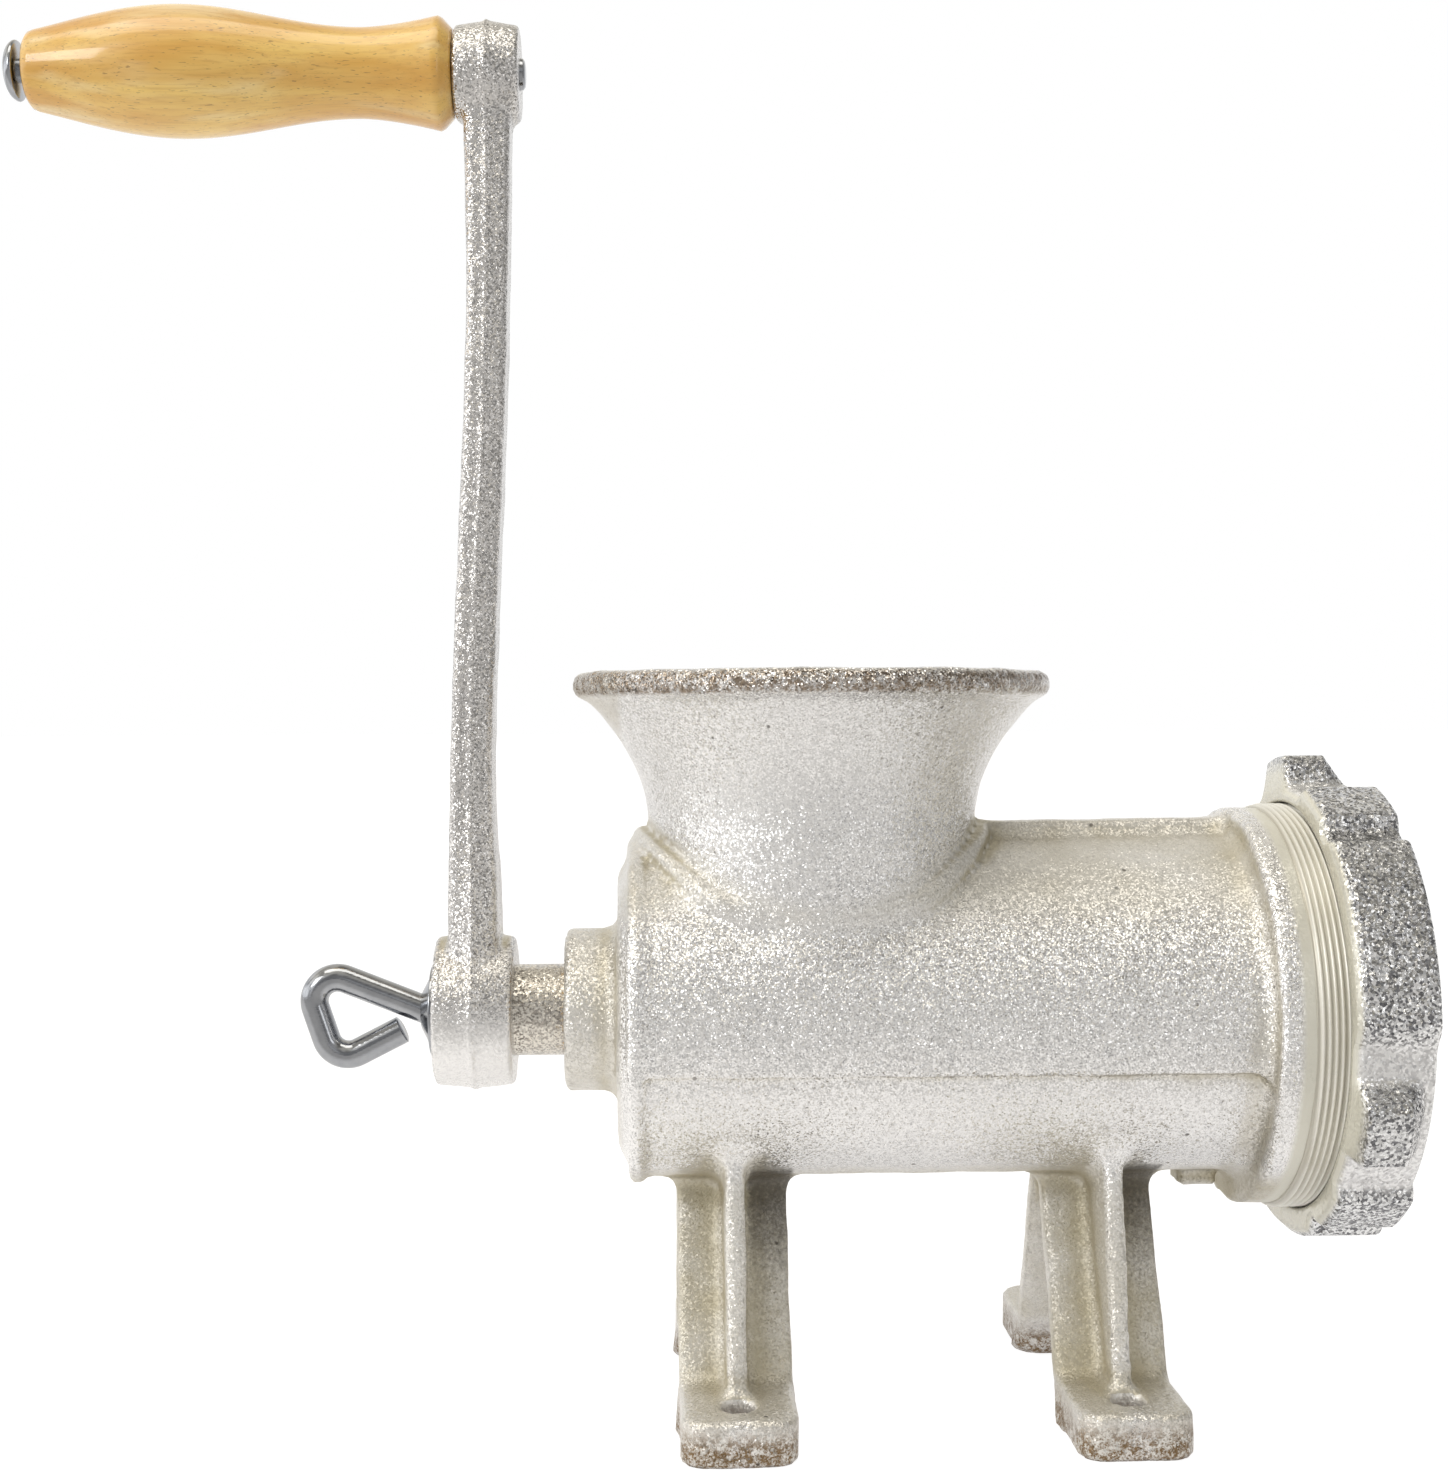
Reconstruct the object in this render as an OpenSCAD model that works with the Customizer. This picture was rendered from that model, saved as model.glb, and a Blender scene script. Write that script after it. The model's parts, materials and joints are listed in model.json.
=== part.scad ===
// Manual meat grinder with a tinned cast body, a hand crank and a screw-on front ring.
// The feed screw lies along X with the outlet on +X, Z is up, and the feet stand on Z = 0.
// The origin is the centre of the four bolt holes in the feet. All sizes are millimetres.

/* [Feet and legs] */
// Distance between the bolt holes along the feed screw
bolt_pitch_x = 104; // [95:1:120]
// Distance between the bolt holes across the feed screw
bolt_pitch_y = 98; // [92:1:106]
// Radius of a bolt hole
bolt_r = 4.75; // [3:0.25:5]
// Width of a leg and its foot along the feed screw
leg_w = 31; // [26:1:38]
// Thickness of a leg's sloping plate, measured across the feed screw
leg_plate_t = 7; // [5:0.5:9]
// Half the gap between the front and rear legs at the ground
leg_gap = 29; // [24:1:31]
// Thickness of a foot
foot_t = 12.3; // [8:0.1:16]
// Metal outside a bolt hole at the toe of a foot
foot_toe = 8; // [6:0.5:12]
// Radius of a foot's outer corners
foot_corner_r = 7; // [3:0.5:10]
// Thickness of a leg's stiffening rib
leg_rib_t = 5.4; // [3:0.2:8]
// Gap between the foot of a leg's rib and the bolt hole
leg_rib_clear = 1.2; // [0.5:0.1:3]
// Distance from the axis plane at which a leg's rib runs into the barrel
leg_rib_top_y = 31; // [26:1:36]

/* [Barrel] */
// Height of the feed screw's axis above the ground
axis_h = 111; // [100:1:125]
// Outer radius of the barrel's lower casting
barrel_r = 47.3; // [46.5:0.1:49]
// Outer radius of the upper casting at the rear
upper_r_rear = 47.9; // [47:0.1:50]
// Outer radius of the upper casting at the front
upper_r_front = 49.6; // [48:0.1:51]
// Radius of the barrel's bore
bore_r = 41; // [38:0.1:42]
// Position of the barrel's rear face along the feed screw
rear_x = -82; // [-88:0.5:-78]
// Thickness of the rear wall
rear_wall = 8; // [6:0.5:10]
// Radius of the rear flange
flange_r = 48.9; // [48:0.1:52]
// How far the rear wall bulges out round the boss
wall_bulge = 2; // [0.5:0.25:4]
// Radius at which that bulge starts to fall away
bulge_r = 29; // [26:0.5:34]
// Thickness of the rear flange
flange_t = 5; // [3:0.5:7]
// Length of the bearing boss behind the rear face
boss_len = 17; // [12:1:24]
// Radius of the bearing boss
boss_r = 23; // [20:0.5:28]
// Angle of the step between the upper and lower castings, below the level of the axis
parting_angle = 15; // [5:1:25]
// Width of the rib along the top of the barrel
top_rib_w = 9; // [5:0.5:14]
// Height of that rib above the barrel
top_rib_h = 4.4; // [3:0.2:8]
// Length of the small nub under the front of the barrel
nub_len = 11; // [6:0.5:14]
// Width of that nub
nub_w = 12; // [6:0.5:16]
// Depth of that nub below the barrel
nub_h = 4.5; // [2:0.25:7]

/* [Hopper] */
// Position of the hopper's centre along the feed screw
hopper_x = -28.4; // [-32:0.2:-24]
// Outer radius of the hopper's rim
rim_r = 68.5; // [62:0.5:76]
// Height of the hopper's rim above the axis
rim_rise = 96; // [88:1:110]
// Height of the thick lip round the rim
lip_h = 6.2; // [4:0.2:9]
// How far the lip stands out from the funnel
lip_out = 3; // [1.5:0.1:5]
// Outer radius of the hopper's neck
neck_r = 46.6; // [46:0.1:48]
// Outer radius of the neck where it sinks into the barrel
neck_foot_r = 42; // [40:0.5:44]
// Height above the axis at which the neck starts to flare
neck_rise = 50; // [48:1:56]
// Thickness of the funnel's wall
hopper_wall = 5.5; // [4:0.25:7]
// How sharply the funnel flares, where 1 is a straight cone
flare_curve = 2.2; // [1.5:0.1:3]
// Bevel on the edges of the rim
rim_bevel = 1.5; // [0.5:0.1:1.8]
// Radius of the throat into the barrel
throat_r = 36; // [30:0.5:38]
// Height over which the funnel narrows to the throat
throat_taper = 6; // [3:0.5:9]

/* [Front collar and plate] */
// Position along the feed screw at which the barrel starts to widen
collar_x = 88; // [80:1:90]
// Length of the widening fillet
collar_fillet = 6; // [4:0.5:8]
// Length of the plain band behind the thread
band_len = 6.5; // [4:0.5:9]
// Crest radius of the collar's thread
thread_r = 58; // [56:0.25:62]
// Depth of the thread
thread_depth = 1; // [0.6:0.1:1.4]
// Pitch of the thread
thread_pitch = 1.8; // [1.4:0.1:2.6]
// Length of the threaded part
thread_len = 23.5; // [20:0.5:28]
// Radius of the grinding plate
plate_r = 49; // [46:0.5:50]
// Thickness of the grinding plate
plate_t = 12; // [10:0.5:14]
// How far the plate stands out of the collar
plate_proud = 1.5; // [0.5:0.25:3]
// Radius of a hole in the plate
plate_hole_r = 4; // [2:0.25:4.2]
// Distance between the circles of holes
plate_hole_step = 9.6; // [9.2:0.1:10.2]
// Metal between the plate's middle hole and its first circle of holes
plate_bridge = 3.5; // [2:0.25:5]
// Radius of the pin that keeps the plate from turning
key_pin_r = 2; // [1.5:0.1:3]
// How far that pin stands into the collar
key_pin_proud = 2.6; // [2:0.1:3.5]
// Depth of that pin in the collar's wall
key_pin_seat = 4; // [3:0.25:5]

/* [Ring nut] */
// Position of the ring's rear face along the feed screw
ring_x = 108.7; // [106:0.1:112]
// Thickness of the ring's inward lip in front of the plate
ring_lip_t = 4.9; // [3.5:0.1:8]
// Radius of the ring's open mouth
ring_mouth_r = 45; // [40:0.5:46]
// Outer radius of the ring in its grooves
ring_r = 63.6; // [62.4:0.1:67]
// How far the grip lobes stand out of the grooves
lobe_h = 2.6; // [1.5:0.1:4]
// How far the wrench lugs stand out of the grooves
lug_h = 8.6; // [5:0.2:12]
// Number of wrench lugs
lug_count = 3; // [2:1:3]
// Half the angle that a lug's tip covers
lug_tip_half = 8; // [5:0.5:10]
// Angle covered by each sloping flank of a lug
lug_flank = 11; // [8:0.5:13]
// Length of a lug's flat tip along the feed screw
lug_tip_len = 13; // [9:0.5:14]
// Angle of the first lug from the top towards the viewer
lug_start = -5; // [-60:1:60]
// Angle covered by the short lobe after each lug
short_lobe = 19; // [12:1:24]
// Angle of a groove between two lobes
groove_angle = 3; // [2:0.5:4]
// Thickness of the plain rim at the ring's front
front_rim_t = 4.5; // [3:0.5:6]

/* [Feed screw and knife] */
// Radius of the feed screw's tail shaft
shaft_r = 13; // [11:0.1:14]
// Width of the square on the tail that drives through the crank
tail_square = 17; // [14:0.5:18]
// How far that square stops short of the crank's outer face
tail_inset = 2; // [1:0.25:4]
// Radius of the screw's core at the rear
core_r_rear = 15; // [14:0.5:20]
// Radius of the screw's core at the front
core_r_front = 21; // [18:0.5:26]
// Distance between the turns of the flight
flight_pitch = 42; // [34:1:52]
// Thickness of the flight at its root
flight_t = 8; // [6:0.5:11]
// Thickness of the flight at its tip
flight_tip_t = 3.6; // [2.5:0.1:5]
// Thickness of the bearing bush's wall
bush_wall = 3; // [2:0.25:4]
// Thickness of the bearing bush's thrust flange
bush_flange_t = 3; // [2:0.25:4]
// Radius of the thrust flange
bush_flange_r = 22; // [20:0.5:26]
// Width of the square that drives the knife
stud_square = 16; // [14:0.5:20]
// Radius of the stud's round nose in the plate
stud_nose_r = 7.5; // [6:0.25:8]
// Radius of the stud's shank in the feed screw
stud_shank_r = 7; // [5:0.25:8]
// Depth of the stud's shank in the feed screw
stud_shank_len = 20; // [14:1:26]
// Thickness of the knife
knife_t = 13; // [9:0.5:15]
// Radius reached by the knife's blades
knife_r = 45; // [40:0.5:48]
// Radius of the knife's boss
knife_boss_r = 15.2; // [14.9:0.1:17]
// Width of a blade on the plate
blade_w = 11; // [8:0.5:14]
// Width of a blade's back
blade_back_w = 6.6; // [5:0.2:8]
// Height of a blade's ground edge
blade_edge_h = 2; // [1:0.25:4]

/* [Crank] */
// Distance from the feed screw's axis to the grip's axis
crank_len = 268; // [220:1:300]
// Length of the crank's lower hub
hub_len = 22.6; // [20:0.2:30]
// Radius of the lower hub at its parting line
hub_r = 21.8; // [20:0.2:26]
// Length of the crank's upper hub
top_hub_len = 18.6; // [14:0.2:24]
// Radius of the upper hub at its parting line
top_hub_r = 14; // [11:0.2:17]
// How much the hubs lose in radius from the parting line to their faces
hub_draft = 1.2; // [0.5:0.1:2]
// How far the arm's upper end is set over towards the body
arm_set = 4.6; // [0:0.2:6]
// Width of the arm along the feed screw, in its slim middle
arm_w = 12.2; // [10:0.2:15]
// Width of the arm across the feed screw at its lower end
arm_depth_low = 23; // [18:0.5:27]
// Width of the arm across the feed screw at its upper end
arm_depth_top = 18; // [14:0.5:22]
// Height above the axis at which the arm starts to bend over
arm_bend_start = 48; // [40:1:60]
// Distance below the grip's axis at which the bend ends
arm_bend_end = 80; // [60:1:100]
// Height above the axis at which the lower hub's swelling has died out
arm_foot_blend = 75; // [60:1:90]
// Distance below the grip's axis at which the upper hub's swelling starts
arm_head_blend = 67; // [50:1:80]
// Gap of plain shaft between the boss and the crank
shaft_gap = 14.5; // [8:0.1:18]

/* [Grip] */
// Length of the wooden grip
grip_len = 120; // [90:1:140]
// Radius of the grip at its fullest
grip_r = 18.7; // [15:0.1:22]
// Distance from the grip's outer end to its fullest part
grip_full_at = 43; // [30:1:50]
// Distance from the grip's neck to its crank end
grip_neck_back = 26.4; // [20:0.2:32]
// Radius of the grip's neck
grip_neck_r = 12.6; // [10:0.1:14.5]
// Radius of the grip's flare next to the crank
grip_flare_r = 16.1; // [15:0.1:18]
// Radius of the grip at its outer end
grip_end_r = 10.8; // [8.5:0.1:13]
// Length of the bevel at the grip's crank end
grip_bevel_len = 4.2; // [2:0.2:6]
// Depth of that bevel
grip_bevel_in = 3.4; // [2:0.2:5]
// Radius of the grip's spindle
spindle_r = 3.4; // [2.5:0.1:5]
// Radius of the spindle's domed head
spindle_head_r = 8.4; // [6.5:0.1:10]
// Thickness of the domed head
spindle_head_t = 4; // [3:0.25:6]
// Play of the grip along its spindle
grip_play = 2.7; // [1:0.1:4]
// Radius of the spindle's riveted end
rivet_r = 4.5; // [4:0.1:6]
// Height of the riveted end
rivet_h = 1.6; // [1:0.1:2.5]

/* [Eye screw] */
// Radius of the eye screw's wire
wire_r = 4; // [3:0.1:4.5]
// Radius of the wire's bends, at its centre
bend_r = 5.6; // [4.8:0.1:7]
// Distance from the collar to the bends
eye_reach = 25; // [21:0.5:28]
// Height of the upper bend above the screw's axis
eye_up = 4; // [3:0.25:6]
// Depth of the lower bend below the screw's axis
eye_down = 6.8; // [6:0.2:9]
// Depth of the wire's cut end below the screw's axis
eye_tail_drop = 6; // [5:0.25:6.5]
// Gap between the wire's cut end and the collar
eye_tail_gap = 8.6; // [7:0.2:10]
// Length of the eye screw's thread in the feed screw
eye_thread_len = 21; // [16:0.5:24]
// Radius of the eye screw's collar
eye_collar_r = 10.5; // [8:0.25:12]
// Length of the eye screw's collar
eye_collar_t = 2.9; // [2:0.1:4]
// Radius of the washer under the collar
washer_r = 13; // [12.5:0.25:16]
// Thickness of that washer
washer_t = 1.4; // [1:0.1:2.5]

/* [Fits] */
// Radial clearance of a turning fit
run_fit = 0.06; // [0.02:0.01:0.1]
// Radial clearance of a fixed fit
seat_fit = 0.02; // [0.01:0.01:0.05]
// Clearance beside a square drive
square_fit = 0.1; // [0.05:0.01:0.2]
// Gap between faces that pass each other
face_gap = 0.3; // [0.2:0.05:0.5]
// Clearance of the feed screw's flight in the bore
flight_gap = 0.6; // [0.4:0.1:1]

/* [Hidden] */
$fn = 64;

// How far shapes that are joined or cut run into each other
eps = 0.5;
// How deep a cast piece is rooted in the one that carries it
root = 2;
cast_tin = "#c9c9c2";
ring_tin = "#b4b4b2";
bright_zinc = "#d3d5d8";
tool_steel = "#a9acb0";
bronze = "#b08a4a";
varnished_wood = "#e0bd76";

boss_x = rear_x - boss_len;
bore_rear_x = rear_x + rear_wall;
band_x = collar_x + collar_fillet;
thread_x = band_x + band_len;
mouth_x = thread_x + thread_len;
plate_front_x = mouth_x + plate_proud;
plate_rear_x = plate_front_x - plate_t;
recess_r = plate_r + 2 * run_fit;
bush_r = shaft_r + run_fit + bush_wall;
rim_z = axis_h + rim_rise;
neck_z = axis_h + neck_rise;
flare_z = rim_z - lip_h;
foot_out_y = bolt_pitch_y / 2 + bolt_r + foot_toe;
barrel_mid_r = (bore_r + barrel_r) / 2;
leg_top_z = axis_h - barrel_mid_r;
screw_rear_x = bore_rear_x + bush_flange_t + face_gap;
screw_front_x = plate_rear_x - knife_t - 2 * face_gap;
knife_x = plate_rear_x - face_gap - knife_t;
hub_front_x = boss_x - shaft_gap;
hub_rear_x = hub_front_x - hub_len;
hub_mid_x = (hub_front_x + hub_rear_x) / 2;
tail_end_x = hub_rear_x + tail_inset;
top_z = axis_h + crank_len;
top_hub_x = hub_mid_x + arm_set;
top_hub_rear_x = top_hub_x - top_hub_len / 2;
top_hub_front_x = top_hub_x + top_hub_len / 2;
grip_front_x = top_hub_rear_x - face_gap;
grip_rear_x = grip_front_x - grip_len;
head_x = grip_rear_x - grip_play;
washer_x = hub_rear_x - washer_t;
collar_end_x = washer_x - eye_collar_t;
ring_front_x = plate_front_x + face_gap + ring_lip_t;
ring_len = ring_front_x - ring_x;
ring_rim_x = ring_len - front_rim_t;
lug_step = 360 / lug_count;
lug_foot_half = lug_tip_half + lug_flank;
neck_at = grip_len - grip_neck_back;
flare_at = grip_len - grip_bevel_len;

// Places a shape whose own Z axis then lies along the feed screw, with its X pointing up
module on_axis(x, z = axis_h) {
    translate([x, 0, z]) rotate([0, 90, 0]) rotate([0, 0, 180]) children();
}

// A straight-sided square bar along the feed screw
module square_bar(x0, x1, width) {
    translate([x0, -width / 2, axis_h - width / 2]) cube([x1 - x0, width, width]);
}

// A plate outlined in Y and Z, of a width along X
module slab_x(width, outline) {
    rotate([90, 0, 90]) linear_extrude(width, center = true) polygon(outline);
}

// Radius of the funnel's outside at a height from 0 at the neck to 1 under the lip
function funnel_r(t) = neck_r + (rim_r - lip_out - neck_r) * pow(t, flare_curve);
funnel_steps = 12;
function funnel_points(inset) = [for (i = [0 : funnel_steps])
    let (t = i / funnel_steps) [funnel_r(t) - inset, neck_z + t * (flare_z - neck_z)]];

// Outline of the thread: a tooth is given in shares of its depth and pitch
thread_turns = floor(thread_len / thread_pitch);
tooth = [[-1, 0], [0, 0.3], [0, 0.6], [-1, 0.9]];
thread_points = [for (i = [0 : thread_turns - 1], p = tooth)
    [thread_r + p[0] * thread_depth, thread_x + (i + p[1]) * thread_pitch]];

module barrel_shell() {
    corner = 2;
    lip = 1.2;
    draft = 0.5;
    wall_x = rear_x - wall_bulge;
    root_r = thread_r - thread_depth;
    outline = concat([[0, boss_x], [boss_r - corner, boss_x], [boss_r, boss_x + corner],
        [boss_r + draft, wall_x - corner], [boss_r + corner, wall_x], [bulge_r, wall_x],
        [flange_r - lip, rear_x], [flange_r, rear_x + lip],
        [flange_r, rear_x + flange_t - lip], [barrel_r, rear_x + flange_t],
        [barrel_r, collar_x], [root_r, band_x], [root_r, thread_x]],
        thread_points,
        [[root_r, mouth_x], [0, mouth_x]]);
    on_axis(0) rotate_extrude() polygon(outline);
}

// The upper casting is a little wider than the lower one, which leaves a step along each side
module upper_casting() {
    half_turn = 90 + parting_angle;
    x0 = rear_x + flange_t - eps;
    x1 = collar_x + eps;
    inner = bore_r - eps;
    on_axis(0) rotate([0, 0, -half_turn]) rotate_extrude(angle = 2 * half_turn)
        polygon([[inner, x0], [upper_r_rear, x0], [upper_r_front, x1], [inner, x1]]);
}

module top_rib() {
    x0 = hopper_x + throat_r + root;
    base = axis_h + bore_r + root;
    top_front = axis_h + upper_r_front + top_rib_h;
    top_rear = axis_h + upper_r_rear + top_rib_h;
    rotate([90, 0, 0]) linear_extrude(top_rib_w, center = true)
        polygon([[x0, base], [band_x, base], [band_x, top_front], [collar_x, top_front],
            [x0, top_rear]]);
}

module barrel_nub() {
    translate([collar_x - nub_len, -nub_w / 2, axis_h - barrel_r - nub_h])
        cube([nub_len, nub_w, nub_h + root]);
}

module hopper_solid() {
    outline = concat([[0, axis_h], [neck_foot_r, axis_h]], funnel_points(0),
        [[rim_r, flare_z + rim_bevel], [rim_r, rim_z - rim_bevel], [rim_r - rim_bevel, rim_z],
        [0, rim_z]]);
    translate([hopper_x, 0, 0]) rotate_extrude() polygon(outline);
}

module hopper_hollow() {
    mouth_r = rim_r - lip_out - hopper_wall;
    outline = concat([[0, axis_h], [throat_r, axis_h], [throat_r, neck_z - throat_taper]],
        funnel_points(hopper_wall),
        [[mouth_r, rim_z - rim_bevel], [mouth_r + rim_bevel + eps, rim_z + eps], [0, rim_z + eps]]);
    translate([hopper_x, 0, 0]) rotate_extrude() polygon(outline);
}

module foot_outline() {
    straight = leg_w / 2 - foot_corner_r;
    y0 = leg_gap;
    y1 = foot_out_y - foot_corner_r;
    translate([-leg_w / 2, y0]) square([leg_w, y1 - y0]);
    translate([-straight, y0]) square([2 * straight, foot_out_y - y0]);
    for (side = [-1, 1]) translate([side * straight, y1]) circle(foot_corner_r);
}

// One leg: a sloping plate under the barrel, a rib down its outer face, and a foot
module leg() {
    rib_foot_y = bolt_pitch_y / 2 - bolt_r - leg_rib_clear;
    rib_top_z = axis_h - sqrt(pow(barrel_mid_r, 2) - pow(leg_rib_top_y, 2));
    plate_mid = leg_plate_t / 2;
    slab_x(leg_w, [[leg_gap, 0], [leg_gap + leg_plate_t, 0], [leg_plate_t, leg_top_z],
        [0, leg_top_z]]);
    slab_x(leg_rib_t, [[leg_gap, foot_t / 2], [rib_foot_y, foot_t / 2], [rib_foot_y, foot_t],
        [leg_rib_top_y, rib_top_z], [plate_mid, leg_top_z]]);
    linear_extrude(foot_t) foot_outline();
}

module legs() {
    for (end = [-1, 1], side = [0, 1])
        translate([end * bolt_pitch_x / 2, 0, 0]) mirror([0, side, 0]) leg();
}

module grinder_body() {
    color(cast_tin) difference() {
        union() {
            barrel_shell();
            upper_casting();
            top_rib();
            barrel_nub();
            hopper_solid();
            legs();
        }
        hopper_hollow();
        on_axis(bore_rear_x) cylinder(h = band_x - bore_rear_x, r = bore_r);
        on_axis(band_x - eps) cylinder(h = mouth_x - band_x + 2 * eps, r = recess_r);
        on_axis(boss_x - eps) cylinder(h = boss_len + rear_wall + 2 * eps, r = bush_r + seat_fit);
        for (end = [-1, 1], side = [-1, 1])
            translate([end * bolt_pitch_x / 2, side * bolt_pitch_y / 2, -eps])
                cylinder(h = foot_t + 2 * eps, r = bolt_r);
        key_pin_bar(key_pin_r + seat_fit);
    }
}

// The bar of the plate's key pin, which stands in the top of the collar's wall
module key_pin_bar(r) {
    translate([plate_rear_x + plate_t / 2, 0, axis_h + recess_r - key_pin_proud])
        cylinder(h = key_pin_proud + key_pin_seat, r = r);
}

module plate_key_pin() {
    color(tool_steel) key_pin_bar(key_pin_r);
}

module bearing_bush() {
    seat = boss_len + rear_wall;
    color(bronze) difference() {
        union() {
            on_axis(boss_x) cylinder(h = seat + eps, r = bush_r);
            on_axis(bore_rear_x) cylinder(h = bush_flange_t, r = bush_flange_r);
        }
        on_axis(boss_x - eps) cylinder(h = seat + bush_flange_t + 2 * eps, r = shaft_r + run_fit);
    }
}

// The flight is a ridge of four corners carried round the core along a helix
flight_sides = 30;
flight_r = bore_r - flight_gap;
module flight() {
    x0 = screw_rear_x + eps;
    x1 = screw_front_x - flight_t - eps;
    count = floor((x1 - x0) / flight_pitch * flight_sides);
    root_r = core_r_rear - root;
    corners = [[0, root_r], [flight_t, root_r], [(flight_t + flight_tip_t) / 2, flight_r],
        [(flight_t - flight_tip_t) / 2, flight_r]];
    points = [for (i = [0 : count], c = corners) let (a = 360 * i / flight_sides)
        [x0 + i * flight_pitch / flight_sides + c[0], c[1] * cos(a), axis_h + c[1] * sin(a)]];
    walls = [for (i = [0 : count - 1], k = [0 : 3]) let (a = 4 * i + k, b = 4 * i + (k + 1) % 4)
        each [[a, a + 4, b], [b, a + 4, b + 4]]];
    first_end = [[0, 1, 2], [0, 2, 3]];
    last_end = [for (f = first_end) 4 * count * [1, 1, 1] + [f[0], f[2], f[1]]];
    polyhedron(points, concat(walls, first_end, last_end));
}

module feed_screw() {
    core_len = screw_front_x - screw_rear_x;
    color(cast_tin) difference() {
        union() {
            on_axis(screw_rear_x) cylinder(h = core_len, r1 = core_r_rear, r2 = core_r_front);
            flight();
            on_axis(hub_front_x) cylinder(h = screw_rear_x - hub_front_x + eps, r = shaft_r);
            square_bar(tail_end_x, hub_front_x + eps, tail_square);
        }
        on_axis(screw_front_x - stud_shank_len)
            cylinder(h = stud_shank_len + eps, r = stud_shank_r + seat_fit);
        on_axis(tail_end_x - eps) cylinder(h = eye_thread_len + 2 * eps, r = wire_r + run_fit);
    }
}

module knife_stud() {
    color(tool_steel) {
        on_axis(screw_front_x - stud_shank_len + face_gap)
            cylinder(h = stud_shank_len, r = stud_shank_r);
        square_bar(screw_front_x, plate_rear_x - face_gap, stud_square);
        on_axis(plate_rear_x - face_gap - eps)
            cylinder(h = plate_t + face_gap + eps, r = stud_nose_r);
    }
}

module knife() {
    color(tool_steel) difference() {
        union() {
            on_axis(knife_x) cylinder(h = knife_t, r = knife_boss_r);
            for (turn = [0 : 90 : 270]) on_axis(knife_x) rotate([0, 0, turn]) blade();
        }
        square_bar(knife_x - eps, knife_x + knife_t + eps, stud_square + 2 * square_fit);
    }
}

// A blade has a thick back and a ground edge that lies on the plate
module blade() {
    start = knife_boss_r - root;
    back = blade_back_w / 2;
    rotate([90, 0, 90]) translate([0, 0, start]) linear_extrude(knife_r - start)
        polygon([[-back, eps], [back, eps], [back, knife_t - blade_edge_h], [blade_w / 2, knife_t],
            [-back, knife_t]]);
}

// The holes lie in circles from the middle hole to the edge of the ring's mouth
module grinding_plate() {
    first_r = stud_nose_r + plate_hole_r + plate_bridge;
    last_r = ring_mouth_r - plate_hole_r;
    notch_w = 2 * key_pin_r + 2 * square_fit;
    color(tool_steel) difference() {
        on_axis(plate_rear_x) cylinder(h = plate_t, r = plate_r);
        on_axis(plate_rear_x - eps) cylinder(h = plate_t + 2 * eps, r = stud_nose_r + run_fit);
        for (ring = [0 : floor((last_r - first_r) / plate_hole_step)]) {
            r = first_r + ring * plate_hole_step;
            n = floor(2 * PI * r / plate_hole_step);
            for (i = [0 : n - 1])
                on_axis(plate_rear_x - eps) rotate([0, 0, 360 * (i + ring / 2) / n]) translate([r, 0, 0])
                    cylinder(h = plate_t + 2 * eps, r = plate_hole_r, $fn = 32);
        }
        translate([plate_rear_x - eps, -notch_w / 2, axis_h + recess_r - key_pin_proud - face_gap])
            cube([plate_t / 2 + key_pin_r + square_fit + eps, notch_w, key_pin_proud + 2 * eps]);
    }
}

// A lobe of the ring covers the angles from a0 to a1, counted from a lug's middle
module ring_lobe(a0, a1) {
    bevel = 1.2;
    out = ring_r + lobe_h;
    inner = ring_r - root;
    rotate([0, 0, a0]) rotate_extrude(angle = a1 - a0) polygon([[inner, 0], [out - bevel, 0],
        [out, bevel], [out, ring_len - bevel], [out - bevel, ring_len], [inner, ring_len]]);
}

// A wrench lug has flat faces: a tip, two sloping flanks and a front that slants down to the rim
module ring_lug() {
    bevel = 1;
    rear = 2 * bevel;
    front = ring_rim_x + bevel;
    tip = (ring_r + lug_h) * [cos(lug_tip_half), sin(lug_tip_half)];
    foot = ring_r * [cos(lug_foot_half), sin(lug_foot_half)];
    inner = foot[0] - root;
    intersection() {
        linear_extrude(front) polygon([[inner, -foot[1]], [foot[0], -foot[1]], [tip[0], -tip[1]], tip,
            foot, [inner, foot[1]]]);
        rotate([90, 0, 0]) linear_extrude(2 * ring_r, center = true) polygon([[inner - eps, rear],
            [tip[0] - bevel, rear], [tip[0], rear + bevel], [tip[0], rear + lug_tip_len],
            [ring_r, front], [inner - eps, front]]);
    }
}

module ring_nut() {
    bevel = 1;
    rim_out = ring_r + lobe_h - lobe_h / 6;
    first = lug_foot_half + groove_angle;
    second = first + short_lobe + groove_angle;
    color(ring_tin) difference() {
        union() {
            on_axis(ring_x) rotate_extrude() polygon([[0, 0], [ring_r - bevel, 0], [ring_r, bevel],
                [ring_r, ring_rim_x], [rim_out, ring_rim_x], [rim_out, ring_len - bevel],
                [rim_out - bevel, ring_len], [0, ring_len]]);
            for (i = [0 : lug_count - 1]) on_axis(ring_x) rotate([0, 0, lug_start + i * lug_step]) {
                ring_lug();
                ring_lobe(first, first + short_lobe);
                ring_lobe(second, lug_step - lug_foot_half - groove_angle);
            }
        }
        on_axis(ring_x - eps) cylinder(h = ring_len - ring_lip_t + eps, r = thread_r + face_gap);
        on_axis(ring_x) cylinder(h = ring_len + eps, r = ring_mouth_r);
    }
}

// Two drafted halves of a hub that meet at its parting line
module hub(x0, length, r, z) {
    half = length / 2;
    on_axis(x0, z) cylinder(h = half, r1 = r - hub_draft, r2 = r);
    on_axis(x0 + half, z) cylinder(h = half, r1 = r, r2 = r - hub_draft);
}

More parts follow.
